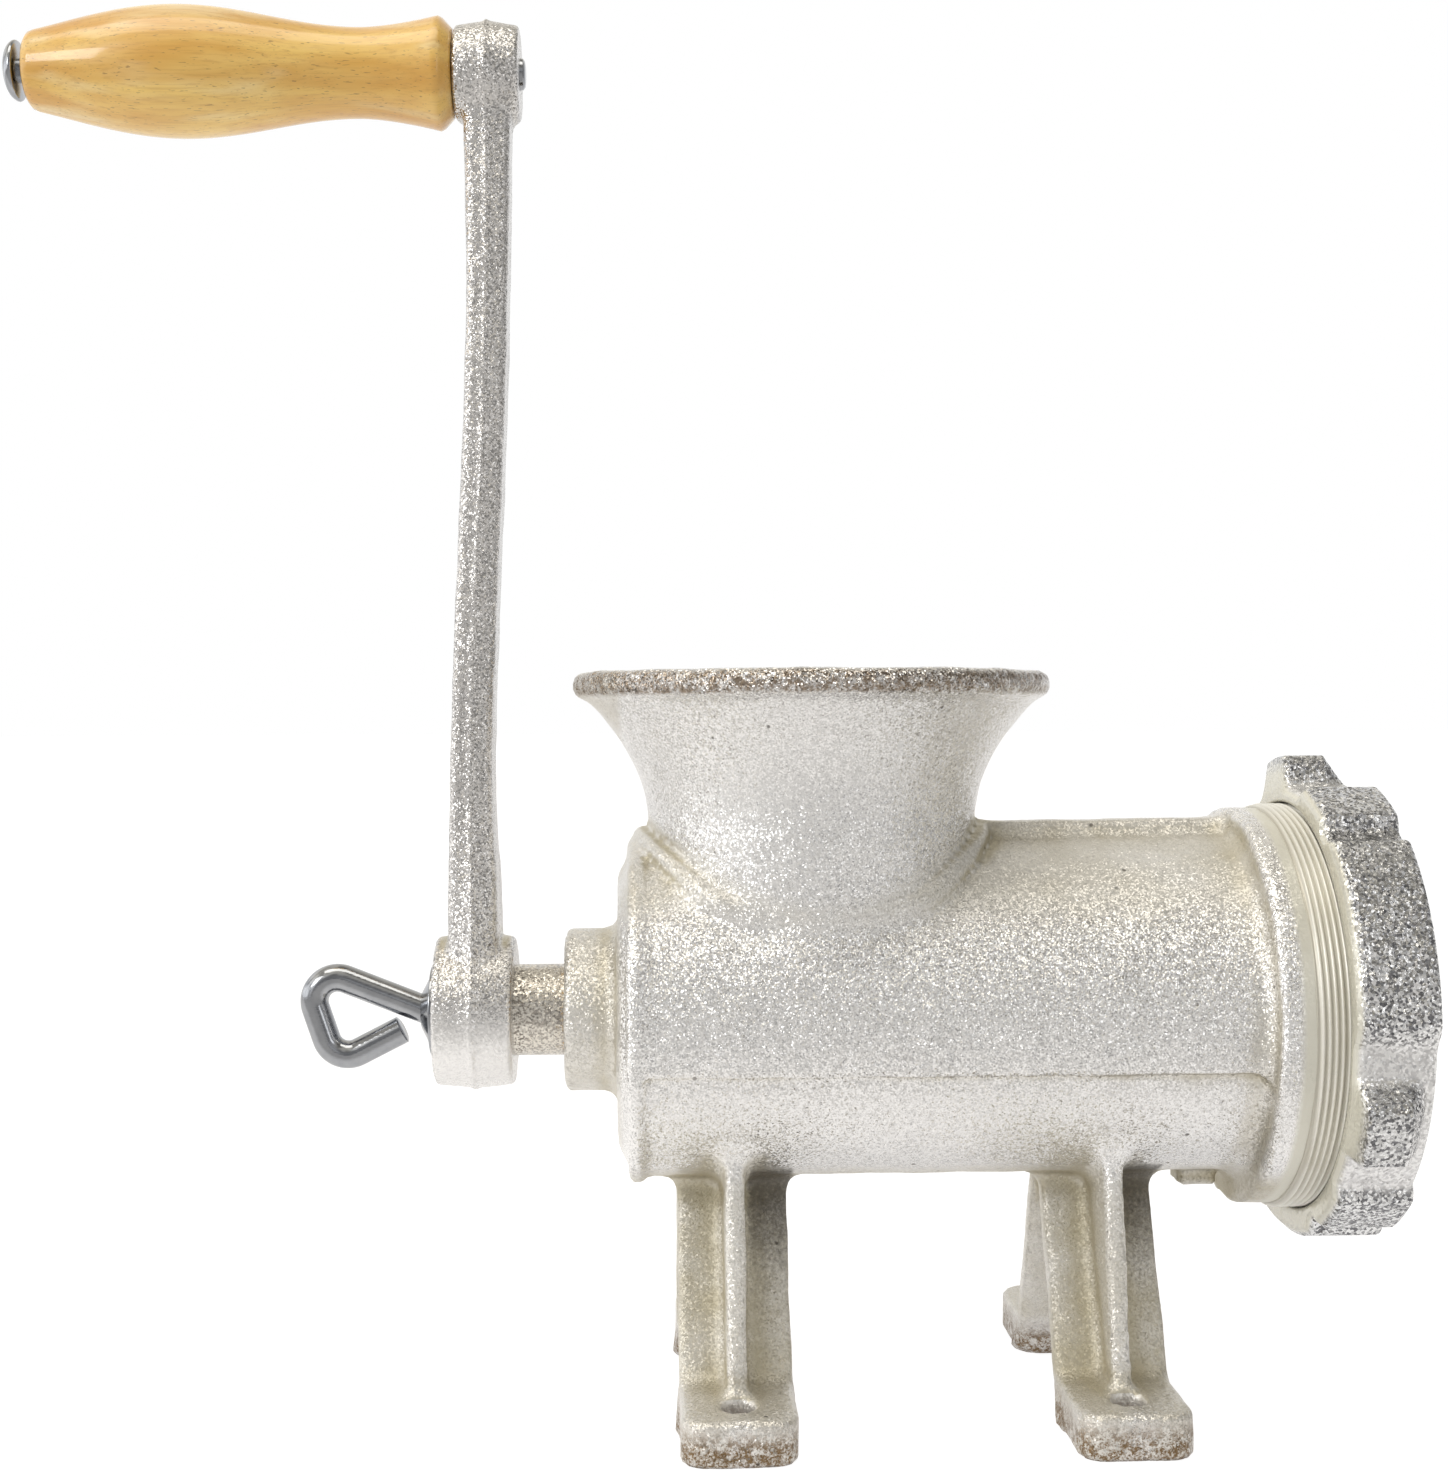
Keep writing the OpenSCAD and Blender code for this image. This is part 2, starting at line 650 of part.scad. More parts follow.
// The arm is an oval carried up a gentle S from the lower hub to the upper one
arm_steps = 26;
arm_sides = 20;
function ease(t) = let (c = min(max(t, 0), 1)) c * c * (3 - 2 * c);
arm_lean = 0.7;
foot_swell = 2.2;
head_swell = 0.7;
oval_power = 0.72;
function arm_x(h) = hub_mid_x - arm_lean
    + (arm_set + arm_lean) * ease((h - arm_bend_start) / (crank_len - arm_bend_end - arm_bend_start));
function arm_half_w(h) = arm_w / 2
    + foot_swell * ease((arm_foot_blend - h) / (arm_foot_blend - hub_r))
    + head_swell * ease((h - crank_len + arm_head_blend) / (arm_head_blend - top_hub_r));
function arm_half_d(h) = (arm_depth_low + (arm_depth_top - arm_depth_low) * h / crank_len) / 2;
function squared(v) = sign(v) * pow(abs(v), oval_power);
module arm() {
    points = [for (i = [0 : arm_steps], k = [0 : arm_sides - 1])
        let (h = crank_len * i / arm_steps, a = 360 * k / arm_sides)
        [arm_x(h) + arm_half_w(h) * squared(cos(a)), arm_half_d(h) * squared(sin(a)), axis_h + h]];
    walls = [for (i = [0 : arm_steps - 1], k = [0 : arm_sides - 1])
        let (a = arm_sides * i + k, b = arm_sides * i + (k + 1) % arm_sides)
        each [[a, a + arm_sides, b], [b, a + arm_sides, b + arm_sides]]];
    low_end = [for (k = [0 : arm_sides - 1]) k];
    top_end = [for (k = [0 : arm_sides - 1]) arm_sides * (arm_steps + 1) - 1 - k];
    polyhedron(points, concat(walls, [low_end, top_end]));
}

module crank_arm() {
    color(cast_tin) difference() {
        union() {
            hub(hub_rear_x, hub_len, hub_r, axis_h);
            hub(top_hub_rear_x, top_hub_len, top_hub_r, top_z);
            arm();
        }
        square_bar(hub_rear_x - eps, hub_front_x + eps, tail_square + 2 * square_fit);
        on_axis(top_hub_rear_x - eps, top_z)
            cylinder(h = top_hub_len + 2 * eps, r = spindle_r + seat_fit);
    }
}

module grip_spindle() {
    edge = 1;
    dome = [for (a = [0 : 15 : 75])
        [(spindle_head_r - edge) * sin(a), head_x - edge - (spindle_head_t - edge) * cos(a)]];
    rivet_end = top_hub_front_x + rivet_h;
    color(bright_zinc) on_axis(0, top_z) rotate_extrude() polygon(concat(dome,
        [[spindle_head_r, head_x - edge], [spindle_head_r - edge / 2, head_x], [spindle_r, head_x],
        [spindle_r, top_hub_front_x], [rivet_r, top_hub_front_x], [rivet_r - edge / 2, rivet_end],
        [0, rivet_end]]));
}

// Radius of the grip at a distance from its outer end: swelling, waist, flare and end bevel
full_curve = 1.15;
flare_rise = 1.6;
function swell(a, b, t) = a + (b - a) * (1 - cos(180 * t)) / 2;
function grip_radius(s) =
    s < grip_full_at ? grip_end_r + (grip_r - grip_end_r) * pow(sin(90 * s / grip_full_at), full_curve)
    : s < neck_at ? swell(grip_r, grip_neck_r, (s - grip_full_at) / (neck_at - grip_full_at))
    : grip_neck_r + (grip_flare_r - grip_neck_r) * pow((s - neck_at) / (flare_at - neck_at), flare_rise);
module wooden_grip() {
    steps = 28;
    round_end = 1.6;
    outline = concat([[0, 0], [grip_end_r - round_end, 0]],
        [for (i = [0 : steps]) let (s = round_end + i * (flare_at - round_end) / steps)
            [grip_radius(s), s]],
        [[grip_flare_r - grip_bevel_in, grip_len], [0, grip_len]]);
    color(varnished_wood) difference() {
        on_axis(grip_rear_x, top_z) rotate_extrude() polygon(outline);
        on_axis(grip_rear_x - eps, top_z) cylinder(h = grip_len + 2 * eps, r = spindle_r + run_fit);
    }
}

// Rings of the eye's wire: middle in X and Z, and the direction in which the wire runs there
bend_steps = 9;
function bend_rings(c, a0, a1) = [for (i = [0 : bend_steps]) let (a = a0 + (a1 - a0) * i / bend_steps)
    [c[0] + bend_r * cos(a), c[1] + bend_r * sin(a), a + 90]];
function eye_rings() =
    let (start = [collar_end_x + eps, axis_h],
        upper = [collar_end_x - eye_reach, axis_h + eye_up],
        lower = [collar_end_x - eye_reach, axis_h - eye_down],
        tail = [collar_end_x - eye_tail_gap, axis_h - eye_tail_drop],
        up = upper - start,
        low = lower - tail,
        upper_a = atan2(up[1], up[0]) - asin(bend_r / norm(up)) - 90,
        lower_a = (atan2(low[1], low[0]) + 360) % 360 + asin(bend_r / norm(low)) + 90)
    concat([[start[0], start[1], upper_a + 90]], bend_rings(upper, upper_a, 180),
        bend_rings(lower, 180, lower_a), [[tail[0], tail[1], lower_a + 90]]);

// A tube of the wire's radius through a list of rings
wire_sides = 18;
module wire_tube(rings) {
    last = len(rings) - 1;
    points = [for (ring = rings, k = [0 : wire_sides - 1]) let (a = 360 * k / wire_sides)
        [ring[0] - wire_r * cos(a) * sin(ring[2]), wire_r * sin(a),
            ring[1] + wire_r * cos(a) * cos(ring[2])]];
    walls = [for (i = [0 : last - 1], k = [0 : wire_sides - 1])
        let (a = wire_sides * i + k, b = wire_sides * i + (k + 1) % wire_sides)
        each [[a, b, a + wire_sides], [b, b + wire_sides, a + wire_sides]]];
    first_end = [for (k = [0 : wire_sides - 1]) wire_sides - 1 - k];
    last_end = [for (k = [0 : wire_sides - 1]) wire_sides * last + k];
    polyhedron(points, concat(walls, [first_end, last_end]));
}

module eye_screw() {
    shoulder = 1;
    thread_end = tail_end_x + eye_thread_len;
    color(bright_zinc) {
        wire_tube(eye_rings());
        on_axis(collar_end_x) cylinder(h = eye_collar_t, r1 = wire_r + shoulder, r2 = eye_collar_r);
        on_axis(washer_x - eps) cylinder(h = thread_end - washer_x + eps, r = wire_r);
    }
}

module eye_screw_washer() {
    color(bright_zinc) difference() {
        on_axis(washer_x) cylinder(h = washer_t, r = washer_r);
        on_axis(washer_x - eps) cylinder(h = washer_t + 2 * eps, r = wire_r + face_gap);
    }
}

grinder_body();
bearing_bush();
feed_screw();
knife_stud();
knife();
grinding_plate();
plate_key_pin();
ring_nut();
crank_arm();
grip_spindle();
wooden_grip();
eye_screw();
eye_screw_washer();
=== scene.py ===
import json
import math

import bmesh
import bpy
import numpy as np
from mathutils import Matrix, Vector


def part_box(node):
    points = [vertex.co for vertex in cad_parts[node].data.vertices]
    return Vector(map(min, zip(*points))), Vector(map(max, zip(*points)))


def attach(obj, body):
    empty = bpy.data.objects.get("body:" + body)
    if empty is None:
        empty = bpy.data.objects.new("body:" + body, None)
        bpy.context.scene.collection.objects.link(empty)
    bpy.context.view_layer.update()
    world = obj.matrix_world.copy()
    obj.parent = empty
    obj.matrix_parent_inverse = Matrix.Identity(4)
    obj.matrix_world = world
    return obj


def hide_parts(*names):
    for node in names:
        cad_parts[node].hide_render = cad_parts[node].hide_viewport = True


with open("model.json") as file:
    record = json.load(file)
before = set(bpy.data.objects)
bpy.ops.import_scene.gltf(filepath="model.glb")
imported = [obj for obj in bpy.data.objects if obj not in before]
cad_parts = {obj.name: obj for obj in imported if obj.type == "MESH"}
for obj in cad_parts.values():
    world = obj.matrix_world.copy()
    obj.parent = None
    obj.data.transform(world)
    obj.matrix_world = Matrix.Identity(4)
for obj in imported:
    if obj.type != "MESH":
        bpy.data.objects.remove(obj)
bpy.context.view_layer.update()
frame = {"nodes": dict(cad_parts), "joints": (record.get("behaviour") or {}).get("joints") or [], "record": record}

# Sizes are millimetres until a mesh is made, and places come from the frame
MM = 0.001
JOINTS = {joint["name"]: joint for joint in frame["joints"]}
BOLTS = {mount["name"]: mount for mount in frame["record"]["mounts"]}["base_bolts"]["dims"]


def node_box(node):
    """Lowest and highest corner of a CAD node, in millimetres."""
    low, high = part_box(node)
    return np.array(low) / MM, np.array(high) / MM


AXIS_Z = JOINTS["crank_turn"]["pos_m"][2] / MM
GRIP_Z = JOINTS["grip_spin"]["pos_m"][2] / MM
BODY_LOW, BODY_HIGH = node_box("grinder_body")
RING_LOW, RING_HIGH = node_box("ring_nut")
CRANK_LOW, CRANK_HIGH = node_box("crank_arm")
GRIP_LOW, GRIP_HIGH = node_box("wooden_grip")
SPINDLE_LOW, SPINDLE_HIGH = node_box("grip_spindle")
WASHER_LOW, WASHER_HIGH = node_box("eye_screw_washer")
EYE_TIP_X = node_box("eye_screw")[1][0]


# Meshes

LATHE_SIDES = 96
CORNER_STEPS = 5


def loft(rings, loop=False):
    """Points and faces of a skin over rings of points, capped at both ends unless they close in a loop."""
    rows, columns = rings.shape[:2]
    row = np.arange(rows if loop else rows - 1)[:, None]
    column = np.arange(columns)[None]

    def corner(down, right):
        return (row + down) % rows * columns + (column + right) % columns

    quads = np.stack([corner(0, 0), corner(0, 1), corner(1, 1), corner(1, 0)], -1).reshape(-1, 4)
    caps = [] if loop else [list(range(columns)), list(range((rows - 1) * columns, rows * columns))]
    return rings.reshape(-1, 3), quads.tolist() + caps


def around(x, r, angle, z):
    """Points at radius r and an angle round the line along x at this z, counted from the top."""
    return np.stack([x, -r * np.sin(angle), z + r * np.cos(angle)], -1)


def turned(outline, z, loop=False):
    """A lathe shape: an outline of (x, radius) carried round the line along x at this z."""
    x, r = np.asarray(outline, float).T[:, :, None]
    angle = np.linspace(0, 2 * math.pi, LATHE_SIDES, endpoint=False)
    return loft(around(x + 0 * angle, r, angle, z), loop)


def rounded(corners, closed=True):
    """An outline of corners (x, radius, size), each rounded by a parabola that starts its size before it.

    An open outline keeps its first and last corner as they are.
    """
    spots = np.array([corner[:2] for corner in corners], float)
    outline = []
    for i, (x, r, size) in enumerate(corners):
        if not closed and i in (0, len(corners) - 1):
            outline.append((x, r))
            continue
        before, here, after = spots[i - 1], spots[i], spots[(i + 1) % len(spots)]
        start = here + (before - here) * size / np.linalg.norm(before - here)
        end = here + (after - here) * size / np.linalg.norm(after - here)
        for t in np.linspace(0, 1, CORNER_STEPS):
            outline.append(tuple((1 - t) ** 2 * start + 2 * t * (1 - t) * here + t**2 * end))
    return outline


def merged(*shapes):
    """Several shapes of points and faces as one."""
    points, faces, offset = [], [], 0
    for shape_points, shape_faces in shapes:
        points.append(shape_points)
        faces += [[i + offset for i in face] for face in shape_faces]
        offset += len(shape_points)
    return np.concatenate(points), faces


def placed(name, data):
    """A new object with this data, in the scene."""
    made = bpy.data.objects.new(name, data)
    bpy.context.scene.collection.objects.link(made)
    return made


def add_piece(name, shape, body, node, material, crease=None, values=None):
    """Adds a piece of the object: its mesh, its body, the CAD node it stands for and its finish.

    Edges sharper than crease, in degrees, stay sharp, and values holds a number for each point by name.
    """
    points, faces = shape
    mesh = bpy.data.meshes.new(name)
    mesh.from_pydata((points * MM).tolist(), [], faces)
    work = bmesh.new()
    work.from_mesh(mesh)
    bmesh.ops.recalc_face_normals(work, faces=work.faces)
    work.to_mesh(mesh)
    work.free()
    mesh.polygons.foreach_set("use_smooth", np.ones(len(mesh.polygons), bool))
    if crease:
        mesh.set_sharp_from_angle(angle=math.radians(crease))
    for key, numbers in (values or {}).items():
        mesh.attributes.new(key, "FLOAT", "POINT").data.foreach_set("value", numbers.astype(np.float32))
    piece = placed(name, mesh)
    mesh.materials.append(material)
    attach(piece, body)
    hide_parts(node)


# Castings: a field gives the distance to the surface, so that joins and cuts get fillets

NET_MARGIN = 4.0
FINE_EDGE, CUT_EDGE, CAST_EDGE, SOFT_EDGE = 0.3, 0.6, 1.0, 2.0
# Height and length of the long swells in a casting's skin, and of the short ones
BODY_SWELLS, CRANK_SWELLS = (0.22, 17.0, 0.1, 6.5), (0.16, 13.0, 0.07, 5.0)


def join(a, b, fillet):
    """The union of two fields: the lower one, with a parabola where they differ by less than the fillet."""
    share = np.clip(0.5 + 0.5 * (b - a) / fillet, 0, 1)
    return b + (a - b) * share - fillet * share * (1 - share)


def both(a, b, edge):
    """The common part of two fields: the higher one, with its edge rounded by a parabola in the same way."""
    return -join(-a, -b, edge)


def cut(a, b, edge):
    """The first field without the second, with an edge rounded by about this radius."""
    return both(a, -b, edge)


def block(across, along, edge):
    """The region where two distances are both negative, with its corner rounded by this radius."""
    outside = np.hypot(np.maximum(across + edge, 0), np.maximum(along + edge, 0))
    return outside + np.minimum(np.maximum(across, along) + edge, 0) - edge


def slab(x, x0, x1):
    """The distance to the space between two planes, negative inside it."""
    return np.abs(x - (x0 + x1) / 2) - (x1 - x0) / 2


def disc(rho, x, r, x0, x1, edge):
    """A rod of radius r from x0 to x1, with rounded ends."""
    return block(rho - r, slab(x, x0, x1), edge)


def fade(value, start, end):
    """A smooth step of a value by a cubic, from 0 at start to 1 at end, which may be the lower of the two."""
    t = np.clip((value - start) / (end - start), 0, 1)
    return t * t * (3 - 2 * t)


def hump(value, start, full, full_end, end):
    """1 from full to full_end, fading to 0 at start and at end."""
    return fade(value, start, full) * fade(value, end, full_end)


def waver(x, y, z, length):
    """The slow unevenness of a sand casting, from -1 to 1, with swells about this length apart.

    It is the mean of three sines along x, y and z, each shifted by a sine along the next.
    """
    a, b, c = 2 * x / length, 2 * y / length, 2 * z / length
    first = np.sin(2.1 * a + 1.7 * np.sin(1.3 * b + 0.4))
    second = np.sin(2.3 * b + 1.5 * np.sin(1.1 * c + 2.0))
    third = np.sin(1.9 * c + 1.6 * np.sin(1.2 * a + 1.1))
    return (first + second + third) / 3


def uneven(x, y, z, height, length, fine_height, fine_length):
    """Long and short swells of these heights, added together."""
    return height * waver(x, y, z, length) + fine_height * waver(z, x, y, fine_length)


def slope_of(field, points):
    """The field's slope at points, by differences over a short reach."""
    reach = 0.3
    steps = np.eye(3) * reach
    return np.stack([field(*(points + s).T) - field(*(points - s).T) for s in steps], 1) / (2 * reach)


def net_surface(field, low, high, step):
    """The surface where a field is zero, as a net of quads.

    The field is sampled on a box of points, step apart. Each cell that the surface crosses gets one vertex,
    at the mean of the crossings on its edges, and each edge that changes sign gets a quad between the four
    cells round it. The vertices are then moved along the field's slope onto its zero. Returns points, faces
    and outward normals.
    """
    low, step = np.asarray(low, float), np.asarray(step, float)
    count = np.ceil((np.asarray(high) - low) / step).astype(int) + 1
    axes = [low[i] + step[i] * np.arange(count[i]) for i in range(3)]
    value = field(*np.meshgrid(*axes, indexing="ij", sparse=True))
    cells_wide = count - 1
    total = np.zeros((cells_wide.prod(), 3))
    hits = np.zeros(cells_wide.prod())
    unit = np.eye(3, dtype=int)
    quads = []
    for axis in range(3):
        near = np.take(value, np.arange(count[axis] - 1), axis) < 0
        far = np.take(value, np.arange(1, count[axis]), axis) < 0
        start = np.argwhere(near != far)
        end = start + unit[axis]
        a, b = value[tuple(start.T)], value[tuple(end.T)]
        spot = start + unit[axis] * (a / (a - b))[:, None]
        side, up = unit[(axis + 1) % 3], unit[(axis + 2) % 3]
        ring = []
        for back in (0 * side, side, side + up, up):
            number = np.ravel_multi_index((start - back).T, cells_wide)
            hits += np.bincount(number, minlength=len(hits))
            for i in range(3):
                total[:, i] += np.bincount(number, spot[:, i], len(hits))
            ring.append(number)
        quad = np.stack(ring, 1)
        quads.append(np.where((a > 0)[:, None], quad[:, ::-1], quad))
    used = hits > 0
    points = low + total[used] / hits[used][:, None] * step
    moves, longest_move, least_slope = 2, 0.6, 0.25
    for _ in range(moves):
        slope = slope_of(field, points)
        move = field(*points.T) / np.maximum((slope**2).sum(1), least_slope)
        points = points - np.clip(move, -longest_move, longest_move)[:, None] * slope
    slope = slope_of(field, points)
    normals = slope / np.linalg.norm(slope, axis=1)[:, None]
    faces = (np.cumsum(used) - 1)[np.concatenate(quads)]
    return points, faces.tolist(), normals


def recess_and_edge(field, points, normals):
    """How closed in each point is by metal near it, and how sharp an edge it lies on, both from 0 to 1.

    The first is how much nearer metal is than the reach, at three reaches outside the point. The second is
    how much less metal there is at a depth below it than under a flat face.
    """
    reaches, depth = (3, 7, 13), 1.5
    recess = np.zeros(len(points))
    for reach in reaches:
        recess += np.clip(1 - field(*(points + reach * normals).T) / reach, 0, 1) / len(reaches)
    edge = np.clip(1 + field(*(points - depth * normals).T) / depth, 0, 1)
    return {"recess": recess, "edge": edge}


def cast_piece(name, field, marks, step, body, node, material):
    """Adds a cast piece made from its field, with marks whose strengths are functions of the place."""
    low, high = node_box(node)
    points, faces, normals = net_surface(field, low - NET_MARGIN, high + NET_MARGIN, step)
    values = recess_and_edge(field, points, normals)
    for key, mark in marks.items():
        values[key] = mark(*points.T)
    add_piece(name, (points, faces), body, node, material, values=values)


# Main casting

REAR_X, FLANGE_X, UPPER_END_X, MOUTH_X = -82.0, -80.6, 96.0, BODY_HIGH[0]
BARREL_R, UPPER_R_REAR, UPPER_R_FRONT = 47.3, 47.9, 49.6
LEDGE_TILT, LEDGE_EDGE, LEDGE_FILLET = math.radians(15), 0.9, 0.8
COLLAR_X, BAND_X, THREAD_X = 88.0, 94.0, 100.5
THREAD_R, THREAD_DEPTH, THREAD_PITCH = 58.0, 1.0, 1.8
THREAD_SIDES, THREAD_ROWS, THREAD_WALL = 240, 9, 4 * THREAD_DEPTH
# Round forms on the barrel: radius, both ends along x, edge and fillet
ROUND_FORMS = {
    "flange": (48.9, FLANGE_X, FLANGE_X + 4.0, 1.4, 1.6),
    "bulge": (43.0, REAR_X - 2.0, REAR_X + 12.0, 6.0, 3.0),
    "boss": (23.2, BODY_LOW[0], REAR_X + 4.0, SOFT_EDGE, 5.0),
    "collar": (THREAD_R - 1.3, BAND_X - 2.5, MOUTH_X, CAST_EDGE, 5.5),
}
# Round cuts, which run into each other and out into the open: radius, both ends along x and edge
BORE_REAR_X, OVERCUT = -74.0, 9.0
ROUND_CUTS = {
    "bore": (41.0, BORE_REAR_X, BAND_X + 2.0, 0.5),
    "recess": (49.12, BAND_X, MOUTH_X + OVERCUT, FINE_EDGE),
    "shaft_hole": (16.08, BODY_LOW[0] - OVERCUT, BORE_REAR_X + 3.0, FINE_EDGE),
}
TOP_RIB_X0, TOP_RIB_X1, TOP_RIB_H, TOP_RIB_HALF = -1.0, 97.0, 4.4, 4.5
TOP_RIB_END, TOP_RIB_FILLET = 1.5, 4.5
NUB_LEN, NUB_HALF, NUB_H, NUB_CORNER, NUB_EDGE, NUB_FILLET = 11.0, 6.0, 4.5, 1.5, 1.2, 2.0

HOPPER_X, RIM_R, RIM_Z = -28.4, 68.5, BODY_HIGH[2]
NECK_Z, FLARE_Z = AXIS_Z + 50, RIM_Z - 6.2
NECK_R, NECK_FOOT_R, FLARE_R, FLARE_POWER = 46.6, 42.0, 65.5, 2.2
HOPPER_WALL, THROAT_R, THROAT_Z0, THROAT_Z1 = 5.5, 36.0, NECK_Z - 7, NECK_Z + 1
LIP_MARGIN, LIP_EDGE, LIP_FILLET, LIP_STEP = 0.15, 2.2, 3.0, 0.4
HOPPER_BEVEL, HOPPER_BEVEL_H, HOPPER_EDGE = 1.2, 2.5, 1.2
# Heights above the feed screw where the neck's fillet tightens and its bead comes out of the skin
TIGHTENING, COMING_OUT = (18, 29), (20, 35)
NECK_FILLET, NECK_FILLET_LOSS = 8.0, 5.5
BEAD_R, BEAD_OUT, BEAD_DIP, BEAD_FILLET = 2.8, 1.7, 5.0, 1.7
BEAD_END_Z, BEAD_END_EDGE = AXIS_Z + 22, 6.0

LEG_X, BOLT_Y, BOLT_R = BOLTS["spacing_x_mm"] / 2, BOLTS["spacing_y_mm"] / 2, BOLTS["hole_r_mm"]
LEG_HALF, LEG_LOW_Z, LEG_TOP_Z, LEG_END_Z = 15.5, 2.0, 66.85, 84.0
LEG_FILLET, LEG_ROOT_FILLET = 4.5, 6.0
PLATE_HALF, PLATE_EDGE = 3.5, 1.6
RIB_HALF, RIB_EDGE, RIB_FOOT_Y, RIB_TOP_Y, RIB_TOP_Z = 2.7, 1.3, 43.0, 31.0, 79.6
FOOT_T, FOOT_IN_Y, FOOT_OUT_Y = 12.3, 29.0, BOLT_Y + BOLT_R + 8
FOOT_CORNER, FOOT_EDGE, SOLE_EDGE, BOLT_EDGE = 7.0, 1.8, 0.5, 0.8


def funnel_radius(z):
    """Outer radius of the hopper: straight from its foot to the neck, then a power of the height."""
    neck = NECK_FOOT_R + (NECK_R - NECK_FOOT_R) * np.clip((z - AXIS_Z) / (NECK_Z - AXIS_Z), 0, 1)
    flare = np.clip((z - NECK_Z) / (FLARE_Z - NECK_Z), 0, 1)
    return neck + (FLARE_R - NECK_R) * flare**FLARE_POWER


def funnel_lean(z):
    """Cosine of the funnel's slope, which turns a radial gap into a distance."""
    reach = 0.5
    rise = (funnel_radius(z + reach) - funnel_radius(z - reach)) / (2 * reach)
    return 1 / np.sqrt(1 + rise**2)


def hopper_fields(x, y, z):
    """The hopper, the plain outside of its funnel, and its hollow.

    The hopper is the funnel with a lip on it, above the feed screw's line. The hollow is the funnel less its
    wall, which passes into a straight throat at the neck and has a bevel at the rim.
    """
    radius = np.hypot(x - HOPPER_X, y)
    lean = funnel_lean(z)
    outside = (radius - funnel_radius(z)) * lean
    lip = disc(radius, z, RIM_R - LIP_MARGIN, FLARE_Z, RIM_Z - LIP_MARGIN, LIP_EDGE)
    hopper = join(both(outside, z - RIM_Z + LIP_STEP, CAST_EDGE), lip, LIP_FILLET)
    throat = THROAT_R + (funnel_radius(z) - HOPPER_WALL - THROAT_R) * fade(z, THROAT_Z0, THROAT_Z1)
    bevel = HOPPER_BEVEL * fade(z, RIM_Z - HOPPER_BEVEL_H, RIM_Z)
    hollow = (radius - throat - bevel) * lean
    return both(hopper, AXIS_Z - z, CAST_EDGE), outside, both(hollow, AXIS_Z - z, CAST_EDGE)


def leg_field(x, y, z):
    """A leg of T section, and its bolt hole: a sloping plate, a rib down its outer face, and a foot."""
    across = np.abs(np.abs(x) - LEG_X)
    tilt = math.cos(math.atan(FOOT_IN_Y / LEG_TOP_Z))
    plate_y = FOOT_IN_Y * (1 - z / LEG_TOP_Z) + PLATE_HALF
    plate = block((np.abs(y - plate_y) - PLATE_HALF) * tilt, across - LEG_HALF, PLATE_EDGE)
    rib_y = RIB_FOOT_Y + (RIB_TOP_Y - RIB_FOOT_Y) * (z - FOOT_T) / (RIB_TOP_Z - FOOT_T)
    rib = block(across - RIB_HALF, np.maximum(y - rib_y, plate_y - y), RIB_EDGE)
    leg = both(join(plate, rib, LEG_FILLET), z - LEG_END_Z, SOFT_EDGE)
    leg = both(leg, LEG_LOW_Z - z, CAST_EDGE)
    plan = block(across - LEG_HALF, slab(y, FOOT_IN_Y, FOOT_OUT_Y), FOOT_CORNER)
    foot = block(plan, slab(z, 0, FOOT_T), FOOT_EDGE)
    hole = np.hypot(np.abs(x) - LEG_X, y - BOLT_Y) - BOLT_R
    return join(leg, foot, LEG_FILLET), np.maximum(hole, z - 2 * FOOT_T)


def casting_field(x, y, z):
    """The grinder's body: barrel, boss, collar, hopper and legs, joined by fillets and hollowed.

    The barrel's upper part is larger and ends in a ledge on each side. A bead lies where the neck meets it,
    round a point that stands a little outside both skins on top and dips into them down the sides.
    """
    swells = uneven(x, y, z, *BODY_SWELLS)
    y = np.abs(y)
    up = z - AXIS_Z
    rho = np.hypot(y, up)
    upper_r = UPPER_R_REAR + (UPPER_R_FRONT - UPPER_R_REAR) * (x - REAR_X) / (COLLAR_X - REAR_X)
    below = -(y * math.sin(LEDGE_TILT) + up * math.cos(LEDGE_TILT))
    upper = both(rho - upper_r, below, LEDGE_EDGE)
    upper = both(upper, slab(x, FLANGE_X, UPPER_END_X), SOFT_EDGE)
    body = join(disc(rho, x, BARREL_R, FLANGE_X, MOUTH_X, CAST_EDGE), upper, LEDGE_FILLET)
    for *form, fillet in ROUND_FORMS.values():
        body = join(body, disc(rho, x, *form), fillet)
    rib = block(y - TOP_RIB_HALF, up - upper_r - TOP_RIB_H, SOFT_EDGE)
    rib = both(rib, slab(x, TOP_RIB_X0, TOP_RIB_X1), TOP_RIB_END)
    body = join(body, both(rib, -up, CAST_EDGE), TOP_RIB_FILLET)
    nub = block(np.maximum(slab(x, COLLAR_X - NUB_LEN, COLLAR_X), up), y - NUB_HALF, NUB_CORNER)
    body = join(body, block(nub, -up - BARREL_R - NUB_H, NUB_EDGE), NUB_FILLET)
    hopper, neck, hollow = hopper_fields(x, y, z)
    body = join(body, hopper, NECK_FILLET - NECK_FILLET_LOSS * fade(up, *TIGHTENING))
    dip = BEAD_DIP * (1 - fade(up, *COMING_OUT)) - BEAD_OUT
    bead = np.hypot(neck + dip, rho - upper_r + dip) - BEAD_R
    body = join(body, both(bead, BEAD_END_Z - z, BEAD_END_EDGE), BEAD_FILLET)
    leg, hole = leg_field(x, y, z)
    body = join(body, leg, LEG_ROOT_FILLET) + swells
    body = cut(body, hollow, HOPPER_EDGE)
    for form in ROUND_CUTS.values():
        body = cut(body, disc(rho, x, *form), CUT_EDGE)
    body = cut(body, hole, BOLT_EDGE)
    return both(body, -z, SOLE_EDGE)


def from_axis(y, z):
    """Distance from the feed screw's line."""
    return np.hypot(y, z - AXIS_Z)


